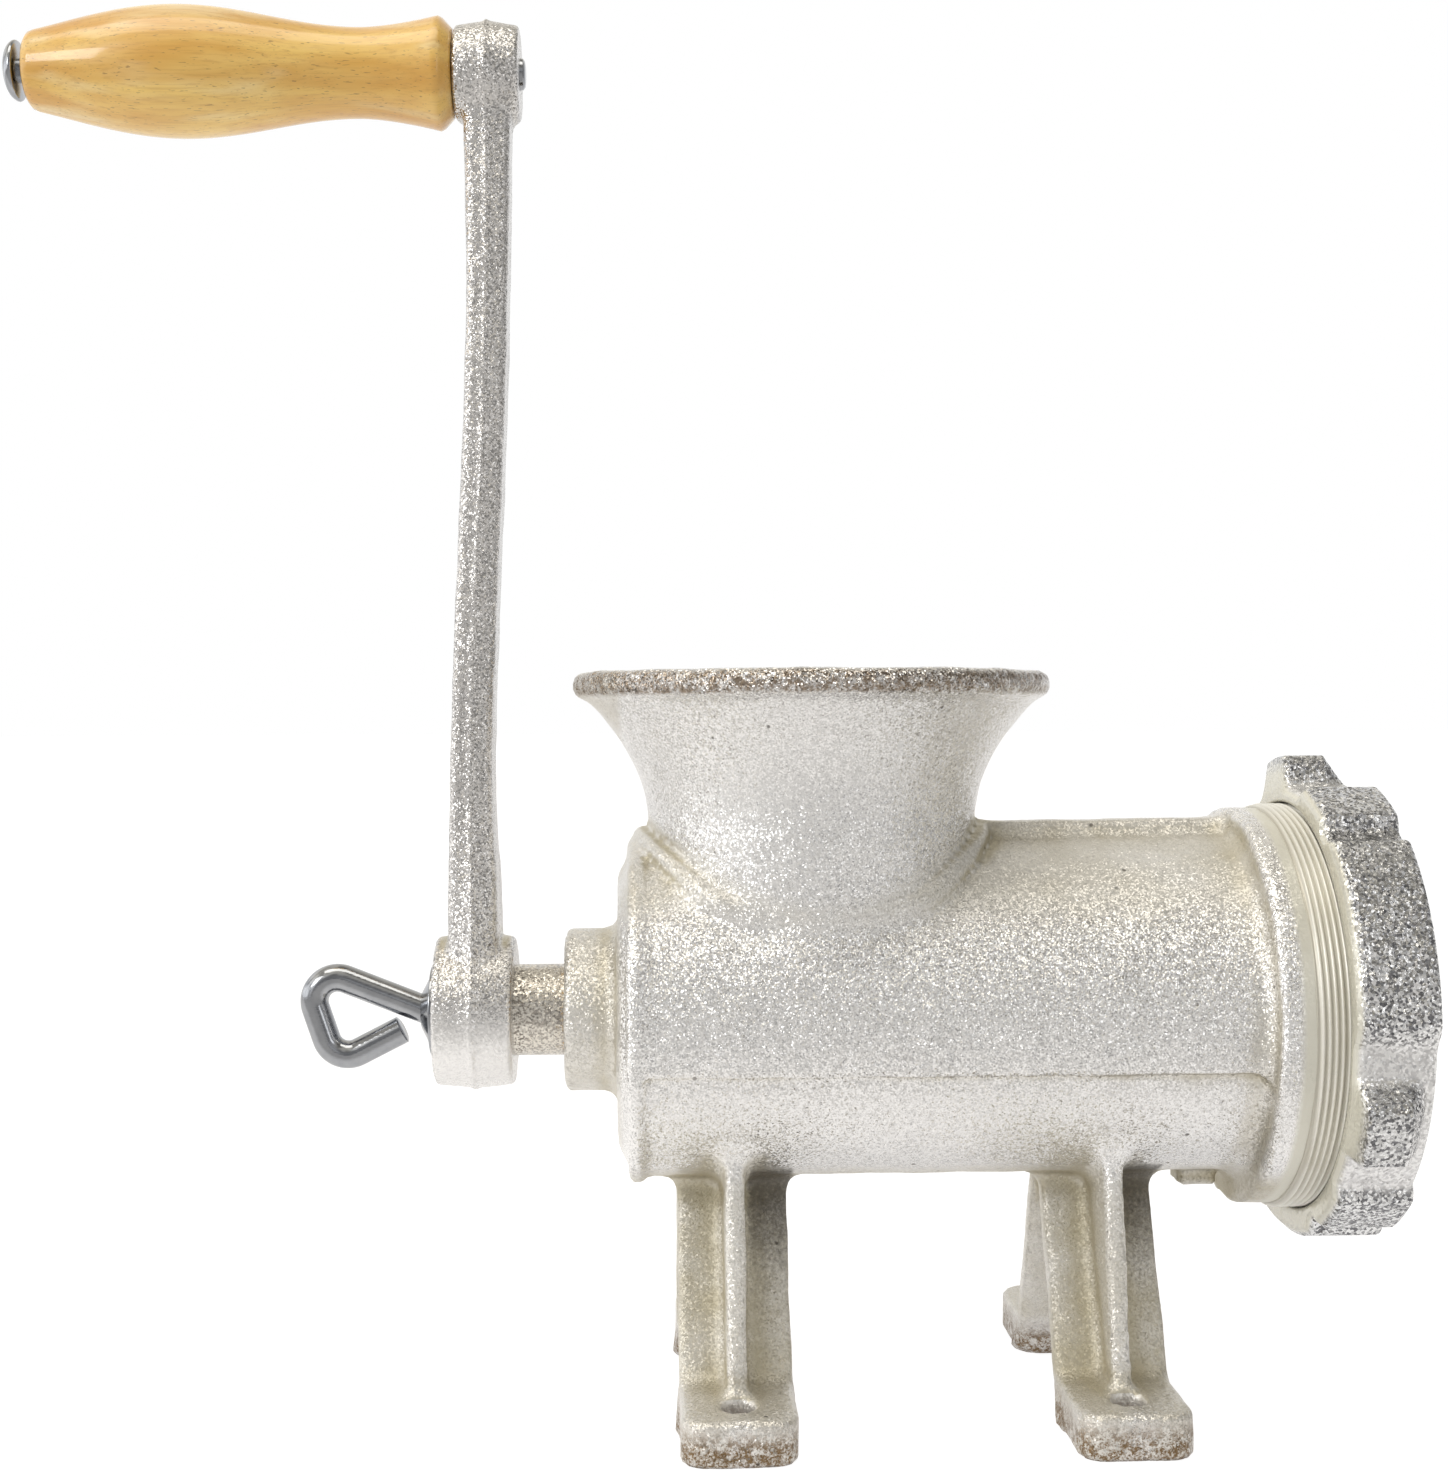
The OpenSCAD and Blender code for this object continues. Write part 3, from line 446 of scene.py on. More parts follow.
def on_lip(x, y, z, width):
    """1 on the outside of the lip and on this width of its faces, and 0 elsewhere."""
    start = RIM_R - width
    return fade(z, FLARE_Z - 0.5, FLARE_Z + 0.5) * fade(np.hypot(x - HOPPER_X, y), start, start + 1)


def near_barrel(y, z):
    """1 on the barrel's own skin, and 0 where the neck has left it."""
    return fade(from_axis(y, z), UPPER_R_FRONT + 8, UPPER_R_FRONT + 3)


def casting_turned(x, y, z):
    """Where the casting is turned smooth: on the collar behind its thread."""
    return fade(x, BAND_X + 2.5, BAND_X + 3.5) * fade(from_axis(y, z), THREAD_R - 4, THREAD_R - 2)


def casting_stain(x, y, z):
    """How stained the casting is: round the outside of the lip, and on the feet towards the floor."""
    return np.maximum(0.85 * on_lip(x, y, z, 2), fade(z, FOOT_T + 1, FOOT_T - 8))


def casting_tarnish(x, y, z):
    """Where the tin has yellowed: on the legs, the boss, and a little on the barrel's top beside the neck."""
    plates = 0.5 + 0.5 * fade(np.abs(np.abs(x) - LEG_X), 2, 5)
    legs = fade(z, 72, 64) * (0.5 + 0.5 * fade(z, FOOT_T - 2, FOOT_T + 2)) * plates
    beside = fade(z, AXIS_Z + 22, AXIS_Z + 36) * near_barrel(y, z)
    boss = fade(x, REAR_X, REAR_X - 2)
    return np.maximum(legs, 0.6 * np.maximum(beside, boss))


def casting_polish_and_sheen(x, y, z):
    """Where the skin is finer and is painted paler, as painted light: on the funnel, the barrel's top, below its
    ledge and in the bolt holes.

    It is coarser, below 0, on the lip.
    """
    funnel = 0.4 * fade(z, AXIS_Z + 20, AXIS_Z + 66) * fade(z, FLARE_Z, FLARE_Z - 3)
    lower = 0.4 * fade(z, AXIS_Z - 13, AXIS_Z - 19) * (1 - 0.6 * fade(z, LEG_TOP_Z, LEG_TOP_Z - 6))
    top = 0.5 * fade(z, AXIS_Z + 26, AXIS_Z + 36) * near_barrel(y, z)
    off = np.hypot(np.abs(x) - LEG_X, np.abs(y) - BOLT_Y)
    hole = fade(off, BOLT_R + 1.6, BOLT_R + 0.6) * (z < FOOT_T + 1)
    finer = np.maximum(np.maximum(funnel, lower), np.maximum(top, hole))
    return finer - on_lip(x, y, z, 3)


def casting_painted_shade(x, y, z):
    """Painted shade: on the legs' plates to the right of their ribs, away from the light, and under the barrel."""
    side = x - LEG_X * np.sign(x)
    height = 0.3 + 0.55 * fade(z, 22, 66)
    plates = height * hump(side, 3, 5, LEG_HALF + 1, LEG_HALF + 3)
    plates = plates * hump(z, FOOT_T + 3, FOOT_T + 11, LEG_TOP_Z, LEG_TOP_Z + 6)
    skin = fade(from_axis(y, z), BARREL_R + 1.5, BARREL_R + 0.5)
    under = 0.5 * fade(z, AXIS_Z - 43, AXIS_Z - 47) * skin
    return np.maximum(plates, under)


def thread_rings():
    """The collar's thread: a radius that rises and falls once a pitch, on a line that climbs a pitch a turn.

    At x and an angle, the tooth's height is a triangle, cut off flat at its top and bottom, of the fraction
    of (x - start) / pitch - angle / turn. It fades out at both ends. Also returns how deep in the groove
    each point lies.
    """
    tooth_peak, tooth_slope = 1.25, 2.6
    angle = np.linspace(0, 2 * math.pi, THREAD_SIDES, endpoint=False)
    x = np.arange(THREAD_X, MOUTH_X, THREAD_PITCH / THREAD_ROWS)[:, None]
    phase = (x - THREAD_X) / THREAD_PITCH - angle / (2 * math.pi)
    tooth = np.clip(tooth_peak - tooth_slope * np.abs(phase % 1 - 0.5), 0, 1)
    tooth = tooth * hump(x, THREAD_X, THREAD_X + THREAD_PITCH, MOUTH_X - THREAD_PITCH, MOUTH_X)
    r = THREAD_R - THREAD_DEPTH * (1 - tooth)
    inner = 0 * r[:1] + THREAD_R - THREAD_WALL
    x = np.concatenate([x[:1], x, x[-1:]]) + 0 * angle
    r = np.concatenate([inner, r, inner])
    groove = np.clip((THREAD_R - r) / THREAD_DEPTH, 0, 1) ** 2
    return around(x, r, angle, AXIS_Z), groove.ravel()


# Ring nut

RING_LEN = RING_HIGH[0] - RING_LOW[0]
RING_SIDES, RING_ROWS = 720, 44
RING_R, LOBE_H, LUG_H, RING_GROOVE = 63.6, 2.6, 8.3, 0.9
RING_BORE_R, RING_BEVEL = THREAD_R + 0.3, 0.7
RING_MOUTH_R, RING_MOUTH_BEVEL, RING_LIP_T = 45.0, 0.8, 4.9
RING_REAR_CUT, RING_REAR_SLOPE, RING_FRONT_ROUND = 2.2, 0.9, 1.6
LUG_COUNT, LUG_START = 3, -5.0
LUG_REAR_X, LUG_REAR_LEN, LUG_FALL_X, LUG_FALL_LEN = -0.2, 1.6, 13.2, 6.2
# Degrees from a lug's middle at which each form starts, is full, stops being full and ends
LUG_SPAN, SHORT_LOBE, LONG_LOBE = (-15, -8, 3, 8.5), (18, 22, 36, 40), (42, 47, 92, 100)


def ring_rings():
    """The ring: a profile carried round the feed screw's line, whose outer radius depends on angle and place.

    Counted from a lug's middle, each third has a lug, a short lobe and a long lobe with hollows between them,
    which run through to the front. A lug's height falls off before it reaches the front. The outside has a
    bevel at its rear and a quarter circle at its front. Returns the rings of points and the marks on them.
    """
    turn = np.linspace(0, 360, RING_SIDES, endpoint=False)
    third = 360 / LUG_COUNT
    past_lug = (turn - LUG_START) % third
    from_lug = (past_lug + third / 2) % third - third / 2
    depth, lug_top = LOBE_H + RING_GROOVE, LUG_H + RING_GROOVE
    along = np.concatenate([np.linspace(0, RING_REAR_CUT, 4),
                            np.linspace(RING_REAR_CUT + 0.4, RING_LEN - RING_FRONT_ROUND - 0.8, RING_ROWS),
                            np.linspace(RING_LEN - RING_FRONT_ROUND, RING_LEN, 6)])[:, None]
    lobes = depth * (hump(past_lug, *SHORT_LOBE) + hump(past_lug, *LONG_LOBE))
    lug = lug_top * hump(from_lug, *LUG_SPAN) * np.clip((along - LUG_REAR_X) / LUG_REAR_LEN, 0, 1)
    lug = lug * (1 - np.clip((along - LUG_FALL_X) / LUG_FALL_LEN, 0, 1))
    height = np.maximum(lobes, lug)
    into_round = np.maximum(RING_FRONT_ROUND - (RING_LEN - along), 0)
    rounding = RING_FRONT_ROUND - np.sqrt(np.maximum(RING_FRONT_ROUND**2 - into_round**2, 0))
    rear_cut = RING_REAR_SLOPE * np.clip(RING_REAR_CUT - along, 0, RING_REAR_CUT)
    outer_r = RING_R - RING_GROOVE + height - rounding - rear_cut
    bevel_r, mouth_r = RING_BORE_R + RING_BEVEL, RING_MOUTH_R + RING_MOUTH_BEVEL
    rear = bevel_r + (outer_r[0] - bevel_r) * np.array([0.0, 0.35, 0.7])[:, None]
    face = mouth_r + (outer_r[-1] - mouth_r) * np.array([0.75, 0.4, 0.1, 0.0])[:, None]
    lip_x = RING_HIGH[0] - RING_LIP_T
    # The third number of each inner corner is how much painted shade it gets
    inner = [(RING_HIGH[0] - RING_MOUTH_BEVEL, RING_MOUTH_R, 0), (lip_x, RING_MOUTH_R, 0),
             (lip_x, RING_BORE_R, 1), (RING_LOW[0] + RING_BEVEL, RING_BORE_R, 1)]
    inner_x, inner_r, inner_shade = np.array(inner, float).T[:, :, None] + 0 * turn
    outer_x = RING_LOW[0] + along + 0 * turn
    x = np.concatenate([RING_LOW[0] + 0 * rear, outer_x, RING_HIGH[0] + 0 * face, inner_x])
    r = np.concatenate([rear, outer_r, face, inner_r])
    hollow = (1 - np.clip(height / depth, 0, 1)) * fade(np.abs(from_lug), 34, 28)
    # Painted shade: darker towards the lugs' tops, and all over the bore
    painted_shade = np.concatenate([0 * rear, 0.4 * lug / lug_top, 0 * face, inner_shade])
    # The hollows beside the lugs get a finer skin and painted light; the rest of the outside and the front face
    # are coarser
    polish_and_sheen = np.concatenate([0 * rear, 1.3 * hollow - 0.35, 0 * face - 0.3, 0 * inner_r])
    smooth = fade(x, RING_LOW[0] + 1.6, RING_LOW[0] + 1.0) + (r < RING_MOUTH_R + 1)
    marks = {"turned": smooth.ravel(), "painted_shade": painted_shade.ravel(), "polish_and_sheen": polish_and_sheen.ravel()}
    return around(x, r, np.radians(turn), AXIS_Z), marks


# Crank

HUB_R, TOP_HUB_R, HUB_CROWN, HUB_DRAFT, HUB_EDGE = 21.8, 14.0, 0.4, 1.2, 1.3
HUB_REAR_X, HUB_FRONT_X = WASHER_HIGH[0], CRANK_LOW[0] + 22.6
TOP_HUB_REAR_X, TOP_HUB_FRONT_X = CRANK_HIGH[0] - 18.6, CRANK_HIGH[0]
HUB_RIDGE_H, ARM_RIDGE_H, RIDGE_W = 0.5, 0.4, 0.7
LOW_FILLET, TOP_FILLET = 1.8, 3.0
SQUARE_HALF, SQUARE_EDGE, SPINDLE_HOLE_R, SPINDLE_HOLE_EDGE = 8.6, 0.5, 3.42, 0.4
CRANK_LEN = GRIP_Z - AXIS_Z
# Heights above the feed screw at which the arm's changes start and are full
SWELL_Z0, SWELL_Z1, FOOT_Z0, FOOT_Z1 = 75.0, 22.0, 62.0, 10.0
BEND_Z0, BEND_Z1, HEAD_Z0, HEAD_Z1 = 45.0, CRANK_LEN - 43, CRANK_LEN - 67, CRANK_LEN - 14
ARM_BACK, ARM_SET, ARM_EDGE = 0.8, 5.5, 2.2
ARM_HALF_W, ARM_SWELL_W, ARM_HEAD_W = 5.85, 1.1, 0.7
ARM_HALF_D, ARM_TAPER_D, ARM_FOOT_D = 11.5, 2.5, 6.0
FACE_SINK, FACE_DRAFT, FOOT_DRAFT = 0.5, 0.08, 0.4


def parting_ridge(off, height):
    """The height of a fine ridge at a distance off its middle: a bell curve."""
    return height * np.exp(-((off / RIDGE_W) ** 2))


def hub_field(x, y, z, rear, front, radius):
    """A hub that narrows evenly from its middle to both ends, with a parting ridge round its middle."""
    middle, half = (rear + front) / 2, (front - rear) / 2
    off = np.abs(x - middle)
    drafted = np.hypot(y, z) - radius - HUB_CROWN + HUB_DRAFT * off / half - parting_ridge(off, HUB_RIDGE_H)
    return block(drafted, off - half, HUB_EDGE)


def crank_field(x, y, z):
    """The crank: two hubs and an arm that bends over between them, with a ridge along its parting plane.

    The arm's middle, width and depth are sums of smooth steps of the height, and its faces slope to both
    sides of the ridge, more steeply at the foot.
    """
    h = z - AXIS_Z
    swell, foot = fade(h, SWELL_Z0, SWELL_Z1), fade(h, FOOT_Z0, FOOT_Z1)
    middle = (HUB_REAR_X + HUB_FRONT_X) / 2
    centre = middle - ARM_BACK + ARM_BACK * swell + ARM_SET * fade(h, BEND_Z0, BEND_Z1)
    half_w = ARM_HALF_W + ARM_SWELL_W * swell + ARM_HEAD_W * fade(h, HEAD_Z0, HEAD_Z1)
    half_d = ARM_HALF_D - ARM_TAPER_D * np.clip(h / CRANK_LEN, 0, 1) + ARM_FOOT_D * foot
    off = np.abs(x - centre)
    face = np.abs(y) - half_d + (FACE_DRAFT + FOOT_DRAFT * foot) * off - parting_ridge(off, ARM_RIDGE_H)
    arm = both(block(off - half_w, face + FACE_SINK, ARM_EDGE), slab(h, 0, CRANK_LEN), SOFT_EDGE)
    low = hub_field(x, y, h, HUB_REAR_X, HUB_FRONT_X, HUB_R)
    top = hub_field(x, y, z - GRIP_Z, TOP_HUB_REAR_X, TOP_HUB_FRONT_X, TOP_HUB_R)
    crank = join(join(arm, low, LOW_FILLET), top, TOP_FILLET) + uneven(x, y, z, *CRANK_SWELLS)
    crank = both(crank, HUB_REAR_X - x, CUT_EDGE)
    square = block(np.abs(y) - SQUARE_HALF, np.abs(h) - SQUARE_HALF, SQUARE_EDGE)
    crank = cut(crank, square, SQUARE_EDGE)
    return cut(crank, np.hypot(y, z - GRIP_Z) - SPINDLE_HOLE_R, SPINDLE_HOLE_EDGE)


def crank_polish_and_sheen(x, y, z):
    """Where the crank's skin is finer and painted paler as a painted reflection: on the lower half of its low hub.
    """
    return fade(z, AXIS_Z + 8, AXIS_Z - 8)


# Grip and spindle

GRIP_R, GRIP_NECK_R, GRIP_FLARE_R, GRIP_END_R = 18.3, 12.5, 15.8, 10.8
GRIP_FULL, GRIP_NECK, GRIP_FLARE = 43.0, 93.6, 115.8
GRIP_SWELL_POWER, GRIP_FLARE_POWER = 1.15, 1.6
GRIP_BEVEL, GRIP_CLEARANCE = 0.6, 0.06
SPINDLE_R, HEAD_R, HEAD_T, HEAD_EDGE = 3.4, 8.4, 4.0, 1.0
RIVET_R, RIVET_H = 4.5, 1.6
POLE_R = 0.2


def grip_outline():
    """The grip's lathe outline, from the bore at its outer end round to the bore at its crank end.

    The radius grows by a power of a sine to its fullest place, falls by half a cosine wave to the neck and
    flares by a power of the distance from there. Both ends are rounded.
    """
    length = GRIP_HIGH[0] - GRIP_LOW[0]
    s = np.linspace(2.6, GRIP_FLARE - 1.2, 110)
    growth = np.sin(np.pi / 2 * np.clip(s / GRIP_FULL, 0, 1)) ** GRIP_SWELL_POWER
    swelling = GRIP_END_R + (GRIP_R - GRIP_END_R) * growth
    wave = (1 - np.cos(np.pi * (s - GRIP_FULL) / (GRIP_NECK - GRIP_FULL))) / 2
    waist = GRIP_R + (GRIP_NECK_R - GRIP_R) * wave
    rise = np.clip((s - GRIP_NECK) / (GRIP_FLARE - GRIP_NECK), 0, 1)
    flare = GRIP_NECK_R + (GRIP_FLARE_R - GRIP_NECK_R) * rise**GRIP_FLARE_POWER
    r = np.where(s < GRIP_FULL, swelling, np.where(s < GRIP_NECK, waist, flare))
    bore = SPINDLE_R + GRIP_CLEARANCE
    start = [(GRIP_BEVEL, bore), (0, bore + GRIP_BEVEL), (0, GRIP_END_R - 2.2),
             (0.25, GRIP_END_R - 1.1), (1.1, GRIP_END_R - 0.05)]
    end = [(GRIP_FLARE + 0.3, GRIP_FLARE_R), (GRIP_FLARE + 1.5, GRIP_FLARE_R - 0.7),
           (length - 0.6, GRIP_FLARE_R - 2.9), (length, GRIP_FLARE_R - 3.6),
           (length, bore + GRIP_BEVEL), (length - GRIP_BEVEL, bore)]
    outline = start + list(zip(s, r)) + end
    return [(GRIP_LOW[0] + x, radius) for x, radius in outline]


def spindle_outline():
    """The spindle's lathe outline: a domed head, which is part of an ellipse, the rod and a riveted end."""
    head_x, tip = SPINDLE_LOW[0] + HEAD_T, SPINDLE_HIGH[0]
    tilt = np.radians(np.linspace(1, 80, 14))
    dome_x = head_x - HEAD_EDGE - (HEAD_T - HEAD_EDGE) * np.cos(tilt)
    dome_r = (HEAD_R - 0.3) * np.sin(tilt)
    rim = [(head_x - HEAD_EDGE, HEAD_R - 0.05), (head_x - 0.5, HEAD_R),
           (head_x - 0.15, HEAD_R - 0.2), (head_x, HEAD_R - 0.6)]
    rod = [(head_x, SPINDLE_R), (tip - RIVET_H, SPINDLE_R)]
    rivet = [(tip - RIVET_H, RIVET_R), (tip - 0.7, RIVET_R - 0.2), (tip - 0.2, RIVET_R - 0.9),
             (tip, RIVET_R - 2), (tip, POLE_R)]
    return list(zip(dome_x, dome_r)) + rim + rod + rivet


# Eye screw and washer

WIRE_R, BEND_R, WIRE_SIDES = 4.0, 6.6, 40
EYE_COLLAR_R, EYE_COLLAR_T = 10.5, 2.9
EYE_REACH, EYE_UP, EYE_DOWN, EYE_SLANT = 24.0, 3.0, 5.8, 3.0
EYE_TAIL_GAP, EYE_TAIL_DROP = 5.6, 5.4
BEND_STEPS, STRAIGHT_STEPS = 24, 8
SEAT_GAP = 0.05
# How far each last ring of the wire lies past its end, and how much thinner it is
WIRE_END = ((0.0, 0.1), (0.12, 0.25), (0.35, 0.8))
WASHER_CLEARANCE, WASHER_BEVEL, WASHER_BORE_BEVEL = 0.3, 0.5, 0.3


def eye_route():
    """The wire's line in x and z with its direction: out of the collar, round two bends and to the cut end.

    The straight stretches are tangents to the bends, which are arcs of the same radius.
    """
    collar_x = WASHER_LOW[0] - EYE_COLLAR_T
    start = np.array([collar_x + 1.5, AXIS_Z])
    upper = np.array([collar_x - EYE_REACH, AXIS_Z + EYE_UP])
    lower = np.array([collar_x - EYE_REACH + EYE_SLANT, AXIS_Z - EYE_DOWN])
    tail = np.array([collar_x - EYE_TAIL_GAP, AXIS_Z - EYE_TAIL_DROP])
    rise, fall = upper - start, lower - tail
    first = math.atan2(rise[1], rise[0]) - math.asin(BEND_R / np.hypot(*rise)) - math.pi / 2
    last = math.atan2(fall[1], fall[0]) % (2 * math.pi) + math.asin(BEND_R / np.hypot(*fall)) + math.pi / 2
    between = math.pi + math.atan2(EYE_SLANT, EYE_UP + EYE_DOWN)

    def bend(centre, a0, a1):
        a = np.linspace(a0, a1, BEND_STEPS)
        spots = centre + BEND_R * np.stack([np.cos(a), np.sin(a)], 1)
        return np.column_stack([spots, a + math.pi / 2])

    def straight(a, b, share0, share1, direction):
        share = np.linspace(share0, share1, STRAIGHT_STEPS)[:, None]
        return np.column_stack([a + (b - a) * share, np.full(STRAIGHT_STEPS, direction)])

    bends = np.concatenate([bend(upper, first, between), bend(lower, between, last)])
    lead = straight(start, bends[0, :2], 0, 0.95, bends[0, 2])
    out = straight(bends[-1, :2], tail, 0.05, 1, bends[-1, 2])
    return np.concatenate([lead, bends, out])


def eye_shape():
    """The eye screw: a round wire along its route with a rounded cut end, and a conical collar on a shank."""
    x, z, direction = eye_route().T
    past, thinner = np.array(WIRE_END).T
    radius = np.append(np.full(len(x), WIRE_R), WIRE_R - thinner)
    x = np.append(x, x[-1] + past * np.cos(direction[-1]))
    z = np.append(z, z[-1] + past * np.sin(direction[-1]))
    direction = np.append(direction, np.repeat(direction[-1], len(past)))
    x, z, direction, radius = x[:, None], z[:, None], direction[:, None], radius[:, None]
    angle = np.linspace(0, 2 * math.pi, WIRE_SIDES, endpoint=False)
    off = radius * np.cos(angle)
    rings = np.stack([x - off * np.sin(direction), radius * np.sin(angle), z + off * np.cos(direction)], -1)
    near, far = WASHER_LOW[0] - SEAT_GAP, WASHER_LOW[0] - EYE_COLLAR_T
    cone = [(far, POLE_R, 0), (far, WIRE_R + 1, 0.5), (near, EYE_COLLAR_R, 0.6), (near, WIRE_R, 0.2)]
    shank = [(EYE_TIP_X, WIRE_R, 0.5), (EYE_TIP_X, POLE_R, 0)]
    collar = rounded(cone + shank, closed=False)
    return merged(loft(rings), turned(collar, AXIS_Z))


def washer_outline():
    """The washer's lathe outline, with a fine bevel all round."""
    x0, x1 = WASHER_LOW[0], WASHER_HIGH[0]
    bore, r = WIRE_R + WASHER_CLEARANCE, WASHER_HIGH[1]
    return rounded([(x0, bore, WASHER_BORE_BEVEL), (x0, r, WASHER_BEVEL),
                    (x1, r, WASHER_BEVEL), (x1, bore, WASHER_BORE_BEVEL)])


# Materials


def feed(value, socket):
    """Links a shader value to a node's input, or sets the input to a number, a vector or a colour."""
    if isinstance(value, Socket):
        value.tree.links.new(value.socket, socket)
    else:
        socket.default_value = value


class Socket:
    """A shader value. Arithmetic on sockets and numbers adds Math nodes, and node() adds any other node."""

    def __init__(self, tree, socket):
        self.tree, self.socket = tree, socket

    def node(self, kind, settings, sockets, output=0):
        """Adds a node of a type: its settings come first, then its inputs by name or number."""
        made = self.tree.nodes.new(kind)
        for key, setting in settings.items():
            setattr(made, key, setting)
        for key, value in sockets.items():
            feed(value, made.inputs[key])
        return Socket(self.tree, made.outputs[output])

    def math(self, operation, first, second):
        return self.node("ShaderNodeMath", {"operation": operation}, {0: first, 1: second})

    def __add__(self, other):
        return self.math("ADD", self, other)

    def __sub__(self, other):
        return self.math("SUBTRACT", self, other)

    def __rsub__(self, other):
        return self.math("SUBTRACT", other, self)

    def __mul__(self, other):
        return self.math("MULTIPLY", self, other)

    __radd__, __rmul__ = __add__, __mul__


def noise(place, scale, detail=2.0, rough=0.5):
    """Cloudy noise from 0 to 1, with about this many swells to a unit of the place."""
    sockets = {"Vector": place, "Scale": scale, "Detail": detail, "Roughness": rough}
    return place.node("ShaderNodeTexNoise", {}, sockets)


def cells(place, scale, output="Distance"):
    """Random cells, about this many to the millimetre: the distance from their middles, or a colour each."""
    return place.node("ShaderNodeTexVoronoi", {"feature": "F1"}, {"Vector": place, "Scale": scale}, output)


def ramp(value, low, high):
    """A smooth step of a value, from 0 at low to 1 at high."""
    sockets = {"Value": value, "From Min": low, "From Max": high, "To Min": 0.0, "To Max": 1.0}
    return value.node("ShaderNodeMapRange", {"interpolation_type": "SMOOTHSTEP"}, sockets)


def blend(share, first, second):
    """A colour between two colours."""
    return share.node("ShaderNodeMix", {"data_type": "RGBA"}, {0: share, 6: first, 7: second}, 2)


def vector_math(operation, first, sockets):
    """A vector worked out from a vector and the other inputs."""
    return first.node("ShaderNodeVectorMath", {"operation": operation}, {0: first, **sockets})


def stretched(place, along, across):
    """The place with its x counted along times and its y and z across times."""
    return vector_math("MULTIPLY", place, {1: (along, across, across)})


def bump(height, distance, strength, **normal):
    """A normal from a height, on top of another normal if one is given."""
    sockets = {"Height": height, "Distance": distance, "Strength": strength, **normal}
    return height.node("ShaderNodeBump", {}, sockets)


def grain_normal(place, grain, tilt):
    """The surface's normal, tipped another way in each grain, whose colour gives the way."""
    lean = vector_math("SUBTRACT", grain, {1: (0.5, 0.5, 0.5)})
    lean = vector_math("SCALE", lean, {"Scale": tilt})
    normal = place.node("ShaderNodeNewGeometry", {}, {}, "Normal")
    return vector_math("NORMALIZE", vector_math("ADD", normal, {1: lean}), {})


def attribute(place, name):
    """A number that the mesh keeps for each of its points."""
    return place.node("ShaderNodeAttribute", {"attribute_name": name}, {}, "Fac")


def colour(red, green, blue):
    return (red, green, blue, 1.0)


def grey(value):
    return colour(value, value, value)


def new_material(name):
    """A material, its main shader and the place in the frame in millimetres."""
    material = bpy.data.materials.new(name)
    material.use_nodes = True
    tree = material.node_tree
    place = Socket(tree, tree.nodes.new("ShaderNodeTexCoord").outputs["Object"])
    return material, tree.nodes["Principled BSDF"], vector_math("SCALE", place, {"Scale": 1 / MM})


def wire(shader, **inputs):
    """Feeds a shader's inputs, whose names are given with underscores."""
    for key, value in inputs.items():
        feed(value, shader.inputs[key.replace("_", " ")])


WHITE_TIN, GREY_TIN = colour(0.94, 0.93, 0.92), colour(0.70, 0.69, 0.68)
CRANK_PALE, CRANK_GREY = colour(0.76, 0.74, 0.72), colour(0.38, 0.37, 0.36)
SCREW_PALE, SCREW_GREY = colour(0.76, 0.72, 0.65), colour(0.4, 0.37, 0.33)
RING_PALE, RING_GREY = grey(0.86), colour(0.2, 0.2, 0.21)
# KHAKI is yellowed tin, and also the colour of dirt and painted shade in recesses
KHAKI, STAIN = colour(0.50, 0.45, 0.32), colour(0.20, 0.13, 0.065)
# The second colour is the dark of painted shade
PIT, SHADE_DARK = colour(0.1, 0.085, 0.07), colour(0.07, 0.06, 0.05)
BAND, TURNED, TURNED_PALE = colour(0.74, 0.72, 0.63), colour(0.82, 0.80, 0.71), colour(0.90, 0.88, 0.82)
# The colour of painted shade at the bottom of the thread's grooves
GROOVE_SHADE = colour(0.38, 0.35, 0.27)
ZINC_GREY, ZINC_PALE = colour(0.28, 0.29, 0.31), colour(0.46, 0.47, 0.49)
STEEL_GREY, STEEL_PALE = colour(0.38, 0.39, 0.41), colour(0.62, 0.63, 0.64)
BRONZE_DARK, BRONZE_PALE = colour(0.36, 0.22, 0.08), colour(0.62, 0.42, 0.18)
WOOD_BROWN, WOOD_HONEY = colour(0.70, 0.35, 0.05), colour(0.95, 0.65, 0.18)
WOOD_STREAK, WOOD_FIBRE = colour(0.92, 0.72, 0.36), colour(0.54, 0.26, 0.05)
WOOD_PORE = colour(0.24, 0.11, 0.03)


